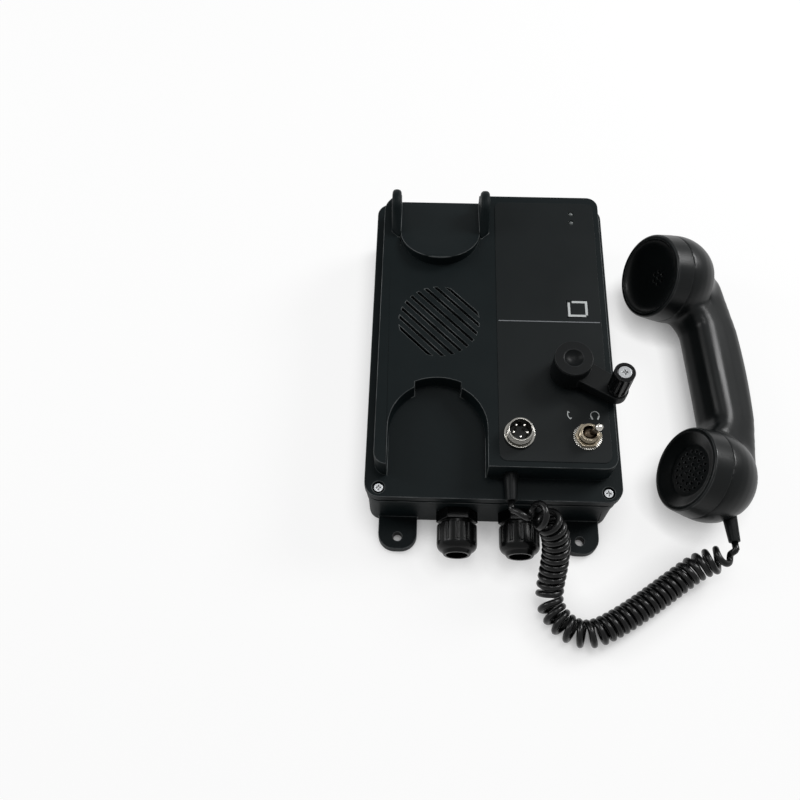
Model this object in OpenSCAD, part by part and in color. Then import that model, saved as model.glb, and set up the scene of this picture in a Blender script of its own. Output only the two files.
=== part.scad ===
// Wall telephone with a hand crank, a handset cradle, a curly cord and a handset lying beside it.
// Millimetres. Origin: middle of the back face. X to the right, Y up the face, Z out of the face.

/* [Housing] */
// Width of the cover flange
housing_w = 165; // [160:1:176]
// Length of the cover flange
housing_l = 232; // [228:1:246]
// Height of the rear housing
base_h = 38; // [37:1:46]
// Height of the recessed seal band
gasket_t = 5; // [3.5:0.5:6.5]
// Thickness of the cover flange
flange_t = 6.5; // [6:0.5:8]
// Height of the raised face above the flange
raise_h = 19; // [18:0.5:24]
// Wall thickness of both shells
wall = 3; // [2.6:0.1:3.4]
// Radius of the flange corners
corner_r = 10; // [8:1:12]
// Inset of the rear housing's rim from the flange edge
base_inset = 1; // [0.6:0.2:1.4]
// Step from the rim in to the housing wall
rim_step = 0.8; // [0.4:0.2:1]
// Width of the rim that carries the seal
rim_w = 6; // [5.8:0.2:6.6]
// Height of the rim
rim_h = 7; // [5:0.5:7.5]
// Inset of the seal from the flange edge
gasket_inset = 2.5; // [2:0.1:2.8]
// Width of the seal
gasket_w = 4.2; // [3.4:0.2:4.4]
// Inset of the raised face from the flange edge
raised_inset = 6; // [5.5:0.5:7]
// Depth of the step in front of the raised face
front_step = 15; // [14:0.5:18]
// Corner radius of the raised face
raised_r = 8; // [5:1:10]
// Radius of the raised face's corner above the ear seat
raised_big_r = 14; // [10:1:15]
// Width of a hook that holds the cover's upper edge
hook_w = 18; // [10:1:24]

/* [Mounting lugs] */
// Width of a lug
lug_w = 26; // [22:1:30]
// Reach of a lug past the flange edge
lug_reach = 21; // [19:1:26]
// Thickness of a lug
lug_t = 7; // [5:0.5:9]
// Corner radius of a lug
lug_r = 11; // [6:1:11]
// Distance from the flange side to the middle of a lug
lug_inset = 21.5; // [18:0.5:26]
// Diameter of a lug hole
lug_hole_d = 6; // [5:0.5:7]
// Distance from the end of a lug to its hole
lug_hole_edge = 8.5; // [7.5:0.5:10]

/* [Cover screws] */
// Distance of a screw from the flange side
screw_inset_x = 9.2; // [8.6:0.2:10]
// Distance of a screw from the flange front
screw_inset_y = 6.5; // [6.3:0.1:7]
// Diameter of the shank
screw_d = 4; // [3:0.5:4]
// Diameter of the head
screw_head_d = 5.8; // [5:0.2:7]
// Height of the head
screw_head_h = 2.2; // [1.6:0.2:2.6]
// Depth of the counterbore
screw_sink = 3; // [2.6:0.2:3.6]
// Diameter of the counterbore
screw_sink_d = 8; // [7.4:0.2:8.6]
// Length of thread in the rear housing
screw_bite = 12; // [8:1:20]

/* [Cradle] */
// Distance from the raised face's left edge to the cradle's middle line
cradle_inset = 40; // [39:0.5:42]
// Radius of the mouth pocket's arch
pocket_r = 31.8; // [29:0.2:33]
// Distance from the raised face's front to the arch centre
pocket_reach = 26; // [24:0.5:29]
// Depth of the pocket at the top of the arch
pocket_depth = 12; // [8:0.5:13]
// Width of the notch at the top of the arch
notch_w = 30.4; // [26:0.2:34]
// Rise of the notch above the arch
notch_h = 3.6; // [2.5:0.1:4.5]
// Radius of the notch's upper edge
notch_r = 36.8; // [34:0.2:45]
// Radius of the ear seat
seat_r = 28; // [26:0.5:29]
// Distance from the raised face's upper edge to the seat centre
seat_back = 33.5; // [32:0.5:36]
// Height of the seat's front lip above the face
lip_h = 9.5; // [6:0.5:12]
// Drop of the seat below the face at its upper edge
seat_drop = 8.5; // [5:0.5:10]
// Thickness of an ear
ear_t = 6.4; // [5.6:0.2:6.6]
// Height of an ear above the face
ear_h = 19.5; // [18:0.5:24]
// Thickness of an ear at its foot
ear_tip = 2.4; // [2:0.2:3]
// Distance from the seat centre down to an ear's foot
ear_front = 4.5; // [3:0.5:7]
// Distance from the seat centre up to the top of an ear
ear_rise = 16.5; // [15:0.5:17.5]
// Radius of the top of an ear, seen from the side
ear_top_r = 11.7; // [10.5:0.1:12.5]
// Radius of the edge round an ear
ear_edge = 2.6; // [1.6:0.2:2.8]

/* [Loudspeaker] */
// Radius of the grille
grille_r = 27; // [24:0.5:27.5]
// Distance of the grille from the middle between the seat and the pocket
grille_shift = -0.95; // [-2:0.05:1]
// Width of a grille slot
slot_w = 1.8; // [1.2:0.2:2.6]
// Pitch of the grille slots
slot_pitch = 5.7; // [5:0.1:7]
// Slope of the grille slots in degrees
slot_angle = -45; // [-60:1:-30]
// Radius of the loudspeaker frame
speaker_r = 28.5; // [28:0.25:29.5]
// Depth of the loudspeaker basket
basket_depth = 14.5; // [13:0.5:17]
// Radius of the loudspeaker magnet
speaker_magnet_r = 16; // [14:0.5:20]
// Thickness of the loudspeaker magnet
speaker_magnet_t = 9; // [6:0.5:12]
// Thickness of the cloth behind the grille
cloth_t = 0.4; // [0.3:0.1:0.8]

/* [Panel] */
// Distance from the mouth pocket's wall to the panel sheet
panel_gap = 4.2; // [3:0.2:6]
// Distance from the raised face's right edge to the panel sheet
panel_margin = 4; // [3.5:0.5:5]
// Distance from the raised face's front to the panel sheet
panel_low = 4; // [3:0.5:6]
// Distance from the raised face's upper edge to the panel sheet
panel_high = 6; // [4:0.5:8]
// Thickness of the panel sheet
panel_t = 0.5; // [0.3:0.1:0.8]
// Corner radius of the panel sheet
panel_r = 5; // [3:0.5:7]
// Diameter of an indicator lamp
led_d = 3.4; // [3:0.2:5]
// Distance from the panel's right edge to the lamps
led_in = 15.7; // [13:0.1:20]
// Distance from the raised face's upper edge to the upper lamp
led_back = 15.2; // [14:0.2:18]
// Distance between the lamps
led_pitch = 7.7; // [6.5:0.1:10]
// Width of the call key
key_w = 14; // [12:0.5:15]
// Length of the call key
key_l = 13; // [11:0.5:14]
// Thickness of the call key's cap
key_t = 1.7; // [1.6:0.1:2]
// Distance from the panel's right edge to the key
key_in = 15.4; // [14:0.1:19]
// Distance from the crank up to the key
key_up = 49.3; // [47:0.1:52]
// Travel of the key
key_travel = 0.4; // [0.3:0.1:0.5]
// Diameter of the key's plunger
plunger_d = 4.4; // [3.4:0.2:5]
// Thickness of the circuit board
board_t = 1.6; // [1.2:0.2:2]
// Distance from the cover's inner face to the board
board_gap = 5.4; // [5.2:0.1:6]
// Distance from the board's edge to a board screw
board_screw_edge = 4; // [3.5:0.5:5]
// Diameter of a board screw
board_screw_d = 2.5; // [2:0.1:3]
// Width of the call switch
switch_w = 6; // [5:0.5:8]
// Height of the call switch's case
switch_h = 3.4; // [3:0.1:3.6]
// Width of the line transformer
transformer_w = 22; // [18:1:26]
// Length of the line transformer
transformer_l = 18; // [14:1:22]
// Height of the line transformer
transformer_h = 14; // [10:1:18]

/* [Crank] */
// Distance from the raised face's front to the crank
crank_up = 66.5; // [65:0.5:68]
// Diameter of the hub
hub_d = 24.4; // [22:0.2:26]
// Height of the hub
hub_h = 18.6; // [17:0.2:22]
// Gap between the panel and the hub
hub_gap = 0.9; // [0.6:0.1:1.2]
// Thickness of the hub cap
hub_cap_t = 1.5; // [1.2:0.1:2.5]
// Diameter of the dish in the hub cap
dish_d = 12.4; // [9:0.2:13]
// Depth of the dish in the hub cap
dish_depth = 3; // [1.5:0.1:3.2]
// Length of the arm
arm_len = 32.4; // [28:0.2:38]
// Direction of the arm in degrees
arm_angle = -31; // [-40:1:-20]
// Thickness of the arm
arm_t = 8; // [6:0.5:9]
// Height of the arm above the hub's lower end
arm_lift = 3.3; // [2:0.1:5]
// Width of the arm at the hub
arm_hub_w = 17; // [14:0.5:20]
// Width of the arm at the knob
arm_end_w = 14.6; // [12:0.2:16]
// Diameter of the knob
knob_d = 13.2; // [11.6:0.2:16]
// Length of the knob
knob_l = 22; // [18:0.5:28]
// Number of flutes round the knob
knob_flutes = 10; // [8:1:14]
// Diameter of the knob's pin
knob_pin_d = 6; // [5:0.2:6.4]
// Diameter of the pin's head
knob_head_d = 8.4; // [7.8:0.2:9]
// Height of the pin's head
knob_head_h = 1.9; // [1.4:0.1:2.4]
// Diameter of the pin's thread
knob_thread_d = 4.9; // [4:0.1:4.9]
// Diameter of the crank shaft
shaft_d = 8; // [7:0.5:8.5]
// Diameter of the crank bush
bush_d = 14; // [12:0.5:16]
// Diameter of the bush's flange
bush_flange_d = 20; // [18:0.5:22]
// Thickness of the bush's flange
bush_flange_t = 2; // [1.5:0.1:3]
// Diameter of the crank's fixing screw
fixing_d = 3.2; // [2.5:0.1:4]
// Diameter of the fixing screw's head
fixing_head_d = 9; // [8.8:0.1:10]
// Height of the fixing screw's head
fixing_head_h = 2.4; // [1.8:0.1:3]

/* [Generator] */
// Teeth of the drive gear
gear_teeth = 56; // [54:1:57]
// Teeth of the pinion
pinion_teeth = 14; // [14:1:16]
// Module of the gears
gear_module = 0.8; // [0.78:0.01:0.82]
// Pressure angle of the gears in degrees
pressure_angle = 25; // [22:1:26]
// Play between the teeth
backlash = 0.16; // [0.1:0.02:0.24]
// Thickness of the drive gear
gear_t = 5; // [4:0.5:6]
// Gap between the board's screws and the generator frame
gen_clear = 0.9; // [0.6:0.1:1.5]
// Gap between the generator and the cover's side wall
gen_side_gap = 1; // [0.6:0.1:2]
// Thickness of the frame's plates
gen_plate_t = 2; // [1.5:0.1:2.4]
// Width of the frame's upper plate
gen_w = 48; // [47:0.5:48.4]
// Reach of the frame's upper plate past the crank
gen_reach = 11.5; // [9:0.5:14]
// Width of the frame's lower plate
gen_low_w = 40; // [34:1:44]
// Diameter of a frame screw
gen_screw_d = 3; // [2.5:0.1:3.4]
// Height of a frame screw's head
gen_screw_head_h = 1.8; // [1.2:0.1:2.2]
// Diameter of the stator can
stator_d = 42; // [39:0.5:43]
// Height of the stator can
stator_h = 30; // [27:0.5:30.5]
// Wall thickness of the stator can
stator_wall = 1.5; // [1:0.1:2]
// Gap between the rotor magnet and the stator coil
air_gap = 0.9; // [0.6:0.1:1.2]
// Diameter of the rotor magnet
rotor_d = 26.6; // [24:0.2:27]
// Length of the rotor magnet
rotor_l = 22; // [18:0.5:23]
// Diameter of the rotor shaft
rotor_shaft_d = 5; // [4:0.2:6]

/* [Panel socket] */
// Distance from the panel's left edge to the socket
socket_in = 12.5; // [11.5:0.1:14]
// Distance from the raised face's front to the socket
socket_up = 21.5; // [19:0.5:24]
// Thread diameter of the socket
socket_d = 16; // [14:0.5:17]
// Diameter of the socket's well
well_d = 13.8; // [12.4:0.1:14]
// Depth of the well
well_depth = 8; // [6.5:0.5:9]
// Height of the socket above the panel
socket_h = 9.5; // [8:0.5:11]
// Diameter of the socket's ring nut
socket_nut_d = 19.6; // [18.5:0.1:21]
// Thickness of the ring nut
socket_nut_t = 2.8; // [2:0.1:4]
// Diameter of the flange behind the panel
socket_flange_d = 21; // [19:0.5:23]
// Number of pins
pin_count = 5; // [3:1:6]
// Diameter of a pin
pin_d = 1.6; // [1.2:0.1:2]
// Radius of the ring of pins
pin_ring_r = 4.4; // [4:0.1:4.8]

/* [Toggle switch] */
// Distance from the panel's right edge to the switch
toggle_in = 14.5; // [13.8:0.1:16]
// Distance from the raised face's front to the switch
toggle_up = 21.2; // [19:0.1:24]
// Thread diameter of the bushing
toggle_d = 12; // [11.4:0.1:12.6]
// Bore of the bushing
toggle_bore_d = 8.8; // [8.4:0.1:9.2]
// Height of the bushing above the panel
toggle_h = 8; // [7:0.5:9]
// Diameter of the washer
washer_d = 18.4; // [17.6:0.2:20]
// Thickness of the washer
washer_t = 0.9; // [0.6:0.1:1.2]
// Width of the nut across its flats
toggle_nut_w = 15; // [14:0.5:17]
// Thickness of the nut
toggle_nut_t = 2.6; // [2:0.1:3.5]
// Height of the lever's pivot above the panel
pivot_h = 3.5; // [3:0.1:4]
// Lean of the lever at rest in degrees
lever_angle = 20; // [14:1:20]
// Length of the lever from its pivot to the tip
lever_l = 15; // [13:0.5:19]
// Diameter of the lever's tip
lever_tip_d = 5.4; // [4.4:0.2:6]
// Diameter of the lever at the bushing
lever_neck_d = 3.2; // [2.6:0.1:3.4]
// Width of the switch body
toggle_body_w = 27; // [22:0.5:28]
// Length of the switch body
toggle_body_l = 15.5; // [14:0.5:20]
// Height of the switch body
toggle_body_h = 19; // [14:0.5:20]

/* [Cable glands] */
// Distance between the glands
gland_pitch = 41; // [38:0.5:46]
// Offset of the pair from the middle line
gland_mid = -1.2; // [-2:0.1:0]
// Width of the gland body across its flats
gland_hex = 24; // [22:0.5:24]
// Length of the gland body outside the wall
gland_hex_l = 7.5; // [6:0.5:9]
// Thread diameter through the wall
gland_d = 20; // [18:0.5:20.4]
// Length of the thread inside the wall
gland_inner_l = 8; // [6:0.5:9]
// Length of the neck outside the body
gland_neck_l = 9.5; // [9:0.5:12]
// Visible length of the neck
gland_gap = 2.6; // [1.5:0.1:3.5]
// Diameter of the dome nut
gland_nut_d = 26.6; // [26:0.2:28]
// Length of the dome nut
gland_nut_l = 19.5; // [18.5:0.5:23]
// Number of flutes round the dome nut
gland_flutes = 12; // [8:1:16]
// Bore of the sealing ring
gland_bore_d = 12.4; // [8:0.2:13]
// Thickness of the sealing ring
seal_t = 2.4; // [1.6:0.1:2.6]
// Thickness of the locknut
locknut_t = 5; // [3:0.5:6]
// Width of the terminal block
terminal_w = 50; // [36:1:60]
// Length of the terminal block
terminal_l = 16; // [12:0.5:18]
// Height of the terminal block
terminal_h = 12; // [8:0.5:18]
// Number of terminals
terminal_count = 5; // [3:1:6]

/* [Handset] */
// Distance between the cap centres
cap_pitch = 149; // [146:0.5:156]
// Radius of the ear cap's rim
ear_rim_r = 30; // [29:0.25:31]
// Radius of the mouth cap's rim
mouth_rim_r = 28.5; // [28:0.25:30]
// Inward tilt of the ear cap in degrees
ear_tilt = 5; // [2:0.5:8]
// Inward tilt of the mouth cap in degrees
mouth_tilt = 9; // [5:0.5:11]
// Height of a cap from its rim to the seam
cap_h = 13; // [12:0.5:15]
// Growth of a cap's radius from rim to seam
cap_flare = 1.5; // [0.8:0.1:2]
// Thickness of a cap
cap_t = 2; // [1.6:0.1:2.4]
// Depth of the ear cap's bowl
bowl_depth = 9; // [7:0.2:9.6]
// Depth of the mouth cap's perforated disc
disc_depth = 5; // [3:0.2:6]
// Radius of the mouth cap's perforated disc
disc_r = 17; // [16:0.25:18]
// Growth of a cup's radius behind the seam
cup_swell = 0.6; // [0.3:0.1:1]
// Depth of a cup from the rim plane to its back
cup_depth = 51.5; // [49.5:0.5:53]
// Thickness of a cup's threaded collar
collar_t = 2.4; // [2:0.1:3]
// Height of a cup's threaded collar
collar_h = 6.5; // [4:0.5:7]
// Height of the sound capsules
capsule_h = 12; // [9:0.5:12.5]
// Width of the grip
grip_w = 32; // [29:0.5:34]
// Distance from the rim plane to the grip's front
grip_front_z = 28.5; // [28:0.5:31]
// Distance from the rim plane to the grip's back
grip_back_z = 66.6; // [64:0.2:67.4]
// Radius of the grip's bow
grip_bow_r = 330; // [315:5:350]
// Half length of the grip's straight front
grip_flat = 35; // [32:0.5:36]
// Radius of the fillets at the ends of the grip's front
grip_fillet = 9.5; // [8:0.5:10]
// Diameter of a perforation in the caps
hole_d = 2.2; // [1.6:0.1:2.6]

/* [Cord] */
// Diameter of the cord
cord_d = 3.9; // [3.2:0.1:3.9]
// Radius of a curl to the middle of the cord
curl_r = 7; // [6.4:0.1:7]
// Number of curls
curl_count = 39; // [30:1:39]
// Diameter of a cord boot at its root
boot_d = 9.4; // [8.6:0.2:10]
// Diameter of a cord boot at its end
boot_end_d = 7.4; // [6:0.2:8]
// Length of the housing's cord boot
base_boot_l = 18; // [17:0.5:19]
// Length of the handset's cord boot
hand_boot_l = 18; // [17:0.5:19]
// Distance from the panel's left edge to the housing's boot
boot_in = 8; // [6.5:0.5:10]
// Height of the housing's boot above the flange
boot_up = 6.5; // [6:0.25:7.5]

/* [Hidden] */
$fn = 48;
// Clearances: running fit, push fit, and between pieces that only lie side by side
run_gap = 0.05;
fit_gap = 0.05;
side_gap = 0.3;
// How far a cutting shape runs past the face that it cuts
over = 1;
// Segments of a rounded corner
corner_steps = 8;

// Levels
flange_z = base_h + gasket_t;
flange_top = flange_z + flange_t;
face_z = flange_top + raise_h;
ceiling = face_z - wall;
panel_z = face_z + panel_t;

// Raised face
raised_w = housing_w - 2 * raised_inset;
raised_front = -housing_l / 2 + front_step;
raised_back = housing_l / 2 - raised_inset;

// Rear housing
base_wall_inset = base_inset + rim_step;
wall_y = housing_l / 2 - base_wall_inset;
lug_x = housing_w / 2 - lug_inset;
lug_end_y = housing_l / 2 + lug_reach;
lug_hole_y = lug_end_y - lug_hole_edge;
lug_root = 12;
least_r = 1;
screw_x = housing_w / 2 - screw_inset_x;
screw_y = -housing_l / 2 + screw_inset_y;
screw_boss_wall = 3;
screw_boss_r = screw_d / 2 + screw_boss_wall;
screw_hole_d = screw_d + 4 * fit_gap;
screw_seat_z = flange_top - screw_sink;
screw_end_z = base_h - screw_bite;
cross_l = 3.5;
cross_w = 0.9;
cross_depth = 1.1;
hook_x = 41.3;
hook_t = 1.5;
hook_lip = 2;
hook_drop = 3;
hook_y = housing_l / 2 - base_inset - rim_w - side_gap;

// Cradle
cradle_x = -raised_w / 2 + cradle_inset;
pocket_y = raised_front + pocket_reach;
pocket_top_y = pocket_y + pocket_r + notch_h;
pocket_top_z = face_z - pocket_depth;
seat_y = raised_back - seat_back;
seat_front_y = seat_y - seat_r;
seat_front_z = face_z + lip_h;
seat_back_z = face_z - seat_drop;
seat_slope = (seat_back_z - seat_front_z) / (raised_back - seat_front_y);
pocket_slope = (pocket_top_z - flange_top) / (pocket_top_y - raised_front);
sky_h = 60;
sky = face_z + sky_h;
ear_foot_y = seat_y - ear_front;
ear_top_y = seat_y + ear_rise;
ear_root = wall / 2;
ear_heel = 9;
ear_heel_r = 6;
ear_fn = 32;

// Loudspeaker
grille_x = cradle_x;
grille_y = (pocket_top_y + seat_front_y) / 2 + grille_shift;
slot_half = floor((grille_r - slot_w) / slot_pitch);
speaker_z = ceiling - cloth_t;
speaker_ring_w = 4;
speaker_ring_t = 3;
basket_t = 1.5;
cone_t = 0.8;
cone_neck_r = 8;
cone_gap = 1.6;
locator_t = 1.8;
locator_h = 4;

// Panel
panel_x0 = cradle_x + pocket_r + wall + panel_gap;
panel_x1 = raised_w / 2 - panel_margin;
panel_w = panel_x1 - panel_x0;
panel_x = (panel_x0 + panel_x1) / 2;
panel_y0 = raised_front + panel_low;
panel_y1 = raised_back - panel_high;
led_x = panel_x1 - led_in;
led_y = raised_back - led_back;
led_proud = 0.3;
crank_y = raised_front + crank_up;
key_x = panel_x1 - key_in;
key_y = crank_y + key_up;
key_proud = 0.2;
key_top = panel_z + key_proud;
key_floor = key_top - key_t - key_travel - side_gap;
plunger_reach = 0.6;
key_end = ceiling - plunger_reach;
board_top = ceiling - board_gap;
board_z = board_top - board_t;
board_side = 4;
board_low = 2.5;
board_high = 8;
board_w = panel_w - 2 * board_side;
board_y0 = key_y - key_l / 2 - board_low;
board_y1 = led_y + board_high;
board_l = board_y1 - board_y0;
board_y = (board_y0 + board_y1) / 2;
boss_wall = 2;
board_boss_r = board_screw_d / 2 + boss_wall;
board_screw_x = board_w / 2 - board_screw_edge;
board_screw_y = board_l / 2 - board_screw_edge;
board_head_h = 1.6;
board_head_d = 5;
board_bite = 3.5;
button_d = 3.5;
transformer_drop = 36;
button_top = key_end - key_travel - side_gap;

// Gears
addendum = 0.95;
dedendum = 1.25;
flank_steps = 4;
gear_r = gear_module * gear_teeth / 2;
pinion_r = gear_module * pinion_teeth / 2;
gear_tip_r = gear_r + addendum * gear_module;

// Crank
crank_x = raised_w / 2 - wall - gen_side_gap - max(gen_w / 2, stator_d / 2, gear_tip_r);
hub_z = panel_z + hub_gap;
hub_top = hub_z + hub_h;
arm_z = hub_z + arm_lift;
arm_top = arm_z + arm_t;
cap_plug_l = 2.2;
head_room = 1.9;
shaft_top = hub_top - cap_plug_l - fixing_head_h - head_room;
head_side = 1.5;
hub_recess_d = fixing_head_d + 2 * head_side;
fixing_l = 10;
knob_z = arm_top + side_gap;
knob_top = knob_z + knob_l;
knob_head_z = knob_top - knob_head_h;
knob_x = crank_x + arm_len * cos(arm_angle);
knob_y = crank_y + arm_len * sin(arm_angle);
flute_d = 2.1;
bush_drop = 5.5;
bush_proud = 0.4;

// Generator, from its upper plate down
rotor_x = crank_x;
rotor_y = crank_y + gear_r + pinion_r;
gen_top = board_z - board_head_h - gen_clear;
gen_gap = ceiling - gen_top;
gen_under = gen_top - gen_plate_t;
gear_head_gap = 1.2;
gear_top = gen_under - gen_screw_head_h - gear_head_gap;
gear_z = gear_top - gear_t;
pinion_extra = 0.5;
stator_gap = 3;
stator_z = gear_z - stator_gap - stator_h;
gen_low = stator_z - gen_plate_t;
gen_h = gen_top - gen_low;
can_gap = 0.5;
gen_front_y = crank_y - gen_reach;
gen_side_y = rotor_y + stator_d / 2 + can_gap;
gen_back_y = gen_side_y + gen_plate_t;
gen_low_front_y = rotor_y - stator_d / 2 - can_gap;
gen_screw_edge = 3.5;
gen_head_d = 5.4;
gen_boss_r = gen_screw_d / 2 + boss_wall;
boss_gap = 2.3;
gen_screw_dx = gen_w / 2 - gen_screw_edge;
gen_screw_y0 = gen_front_y + gen_screw_edge;
gen_screw_y1 = board_y0 - gen_boss_r - boss_gap;
gen_bite = 6;
coil_d = rotor_d + 2 * air_gap;
bobbin_t = 0.2;
stator_hole_d = coil_d - 2 * bobbin_t;
rotor_z = stator_z + (stator_h - rotor_l) / 2;

// Panel socket
socket_x = panel_x0 + socket_in;
socket_y = raised_front + socket_up;
socket_top = panel_z + socket_h;
socket_depth = 4;
socket_z = ceiling - socket_depth;
socket_flange_t = 3;
well_z = socket_top - well_depth;
pin_sunk = 1.5;
pin_top = socket_top - pin_sunk;
pin_tail = 4;
key_notch = 1.6;

// Toggle switch
toggle_x = panel_x1 - toggle_in;
toggle_y = raised_front + toggle_up;
toggle_top = panel_z + toggle_h;
pivot_z = panel_z + pivot_h;
lever_ball_d = toggle_bore_d - 2 * run_gap;
lever_tail_gap = 1.5;
lever_tail_l = pivot_z - ceiling - lever_tail_gap;
lever_tail_d = 2.2;
lever_end_d = 4.8;
tag_w = 4;
tag_t = 0.8;
tag_l = 6;
tag_pitch = 9;

// Cable glands
gland_rim_gap = 0.5;
gland_z = base_h - rim_h - gland_hex / 2 - gland_rim_gap;
neck_step = 0.4;
gland_neck_d = gland_d + 2 * neck_step;
gland_neck_end = gland_hex_l + gland_neck_l;
gland_nut_z = gland_hex_l + gland_gap;
gland_nut_end = gland_nut_z + gland_nut_l;
thread_gap = 0.2;
gland_nut_bore_d = gland_neck_d + 2 * thread_gap;
seal_d = gland_bore_d + 2 * seal_t;
seal_foot = 1.5;
seal_cover = 3.6;
seal_z = gland_hex_l + seal_foot;
seal_end = gland_nut_end - seal_cover;
mouth_step = 0.8;
gland_mouth_d = gland_bore_d + 2 * mouth_step;
gland_lip = 1.6;
gland_dome_l = 7;
gland_dome_r = 5;
gland_flute_d = 2.4;
flute_proud = 0.6;
terminal_inset = 28;
terminal_edge = 4;
terminal_y = -housing_l / 2 + terminal_inset;
terminal_pitch = (terminal_w - 2 * terminal_edge) / (terminal_count - 1);
terminal_screw_d = 5;

// Handset: place, turn about Z, pitch, and lean of the cap side above the table
handset_gap = 38.3;
handset_at = [housing_w / 2 + handset_gap, -13.2, 41.2];
handset_yaw = 3.9;
handset_pitch = 1.1;
handset_lean = 26.6;
cup_full_z = 20;
cup_power = 2;
cavity_z = 26;
grip_flare = 0.5;
grip_sink = 3.5;
grip_end = cap_pitch / 2 + grip_sink;
grip_bow_y = 11.6;
grip_power = 3.4;
grip_steps = 26;
grip_sides = 20;
dome_steps = 9;
ear_hole_rings = 1;
mouth_hole_rings = 3;
hole_pitch = 4.4;
rim_bevel = 1;
rim_lip = 3;
collar_gap = 1;
disc_step_w = 2;
disc_step_h = 1;
bowl_steps = 8;
capsule_step = 7.2;
capsule_inset = 5;
hand_boot_z = -32;
boot_seat = 7.1;
hand_boot_root = cap_pitch / 2 + mouth_rim_r + cap_flare + cup_swell - boot_seat;
boot_root_l = 5;
boot_neck_d = 6.8;
boot_flange_d = 11;
boot_flange_t = 2;

// Cord boots
boot_x = panel_x0 + boot_in;
boot_z = flange_top + boot_up;
boot_tip = [boot_x, raised_front - base_boot_l, boot_z];
hand_tip = handset_point([0, -(hand_boot_root + boot_root_l + hand_boot_l), hand_boot_z]);
hand_way = handset_turn([0, -1, 0]);

// Cord: middle line of the curls, from the housing's boot over the flange edge to the table
straight_l = 4.875;
route = concat(
    [boot_tip + [0, -straight_l, 0]],
    [[14, -126.5, 58.5], [19.5, -128, 60], [26.5, -128.5, 59.5], [32.5, -130.5, 55.5],
     [37, -134.5, 48.5], [39.7, -140, 40], [40.3, -146.5, 31], [39.6, -154, 22.5], [38.6, -162, 15],
     [38.6, -170, 10.6], [41.5, -177.5, 9.3], [46.5, -184, 9.2], [53, -188.3, 9.2], [60, -190, 9.2],
     [67.5, -189, 9.2], [75.5, -185.6, 9.2], [87, -179, 9.2], [96.5, -172.8, 9.2],
     [106.7, -165.7, 9.2], [116.7, -158.5, 9.2], [124.3, -153, 9.3], [131.5, -147.9, 10.5],
     [138.5, -144, 12.5], [145.3, -141.8, 15.5], [151.8, -140.6, 19.2]],
    [hand_tip + straight_l * hand_way]);
rings_per_curl = 8;
cord_sides = 6;
route_steps = 12;
ramp_rings = 8;
loose_rings = 16;
loose_stretch = 0.35;
start_rings = 6;
start_stretch = 2;
least_inner = 0.5;

housing_black = "#1d2022";
gloss_black = "#111213";
panel_grey = "#26292b";
nickel = "#b9b7b0";
steel = "#8d9196";
brass_tint = "#b59a62";

// Outlines

function arc(x, y, r, from, to, n) =
    [for (i = [0:n]) let (a = from + (to - from) * i / n) [x + r * cos(a), y + r * sin(a)]];

function round_rect(w, l, r) = concat(
    arc(w / 2 - r, l / 2 - r, r, 0, 90, corner_steps),
    arc(r - w / 2, l / 2 - r, r, 90, 180, corner_steps),
    arc(r - w / 2, r - l / 2, r, 180, 270, corner_steps),
    arc(w / 2 - r, r - l / 2, r, 270, 360, corner_steps));

module slab(w, l, r, t) {
    linear_extrude(t) polygon(round_rect(w, l, r));
}

// Outline of the raised face, or of its inside at an inset
function raised_outline(inset) =
    let (
        x = raised_w / 2 - inset,
        y0 = raised_front + inset,
        y1 = raised_back - inset,
        r = max(raised_r - inset, least_r),
        big_r = max(raised_big_r - inset, least_r))
    concat(
        arc(x - r, y1 - r, r, 0, 90, corner_steps),
        arc(big_r - x, y1 - big_r, big_r, 90, 180, corner_steps),
        arc(r - x, y0 + r, r, 180, 270, corner_steps),
        arc(x - r, y0 + r, r, 270, 360, corner_steps));

module raised_slab(inset, t) {
    linear_extrude(t) polygon(raised_outline(inset));
}

// Slab that follows the flange outline at a given inset
module flange_slab(inset, t) {
    slab(housing_w - 2 * inset, housing_l - 2 * inset, max(corner_r - inset, least_r), t);
}

module tube(outer_d, inner_d, h) {
    difference() {
        cylinder(d = outer_d, h = h);
        translate([0, 0, -over]) cylinder(d = inner_d, h = h + 2 * over);
    }
}

module hexagon(across, h) {
    cylinder(d = across / cos(30), h = h, $fn = 6);
}

// Prism whose outline lies in Y and Z and which runs along X
module side_prism(outline, x0, x1) {
    translate([x0, 0, 0])
        rotate([90, 0, 90])
            linear_extrude(x1 - x0) polygon(outline);
}

module mirror_pair() {
    children();
    mirror([1, 0, 0]) children();
}

module at_board_screws() {
    for (sx = [-1, 1], sy = [-1, 1])
        translate([panel_x + sx * board_screw_x, board_y + sy * board_screw_y, 0]) children();
}

module at_frame_screws() {
    for (sx = [-1, 1], y = [gen_screw_y0, gen_screw_y1])
        translate([crank_x + sx * gen_screw_dx, y, 0]) children();
}

// Rear housing, seal, cover and screws

module lugs() {
    lug_l = lug_end_y - wall_y + lug_root;
    for (sx = [-1, 1], sy = [-1, 1])
        translate([sx * lug_x, sy * (lug_end_y - lug_l / 2), 0]) slab(lug_w, lug_l, lug_r, lug_t);
}

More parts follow.
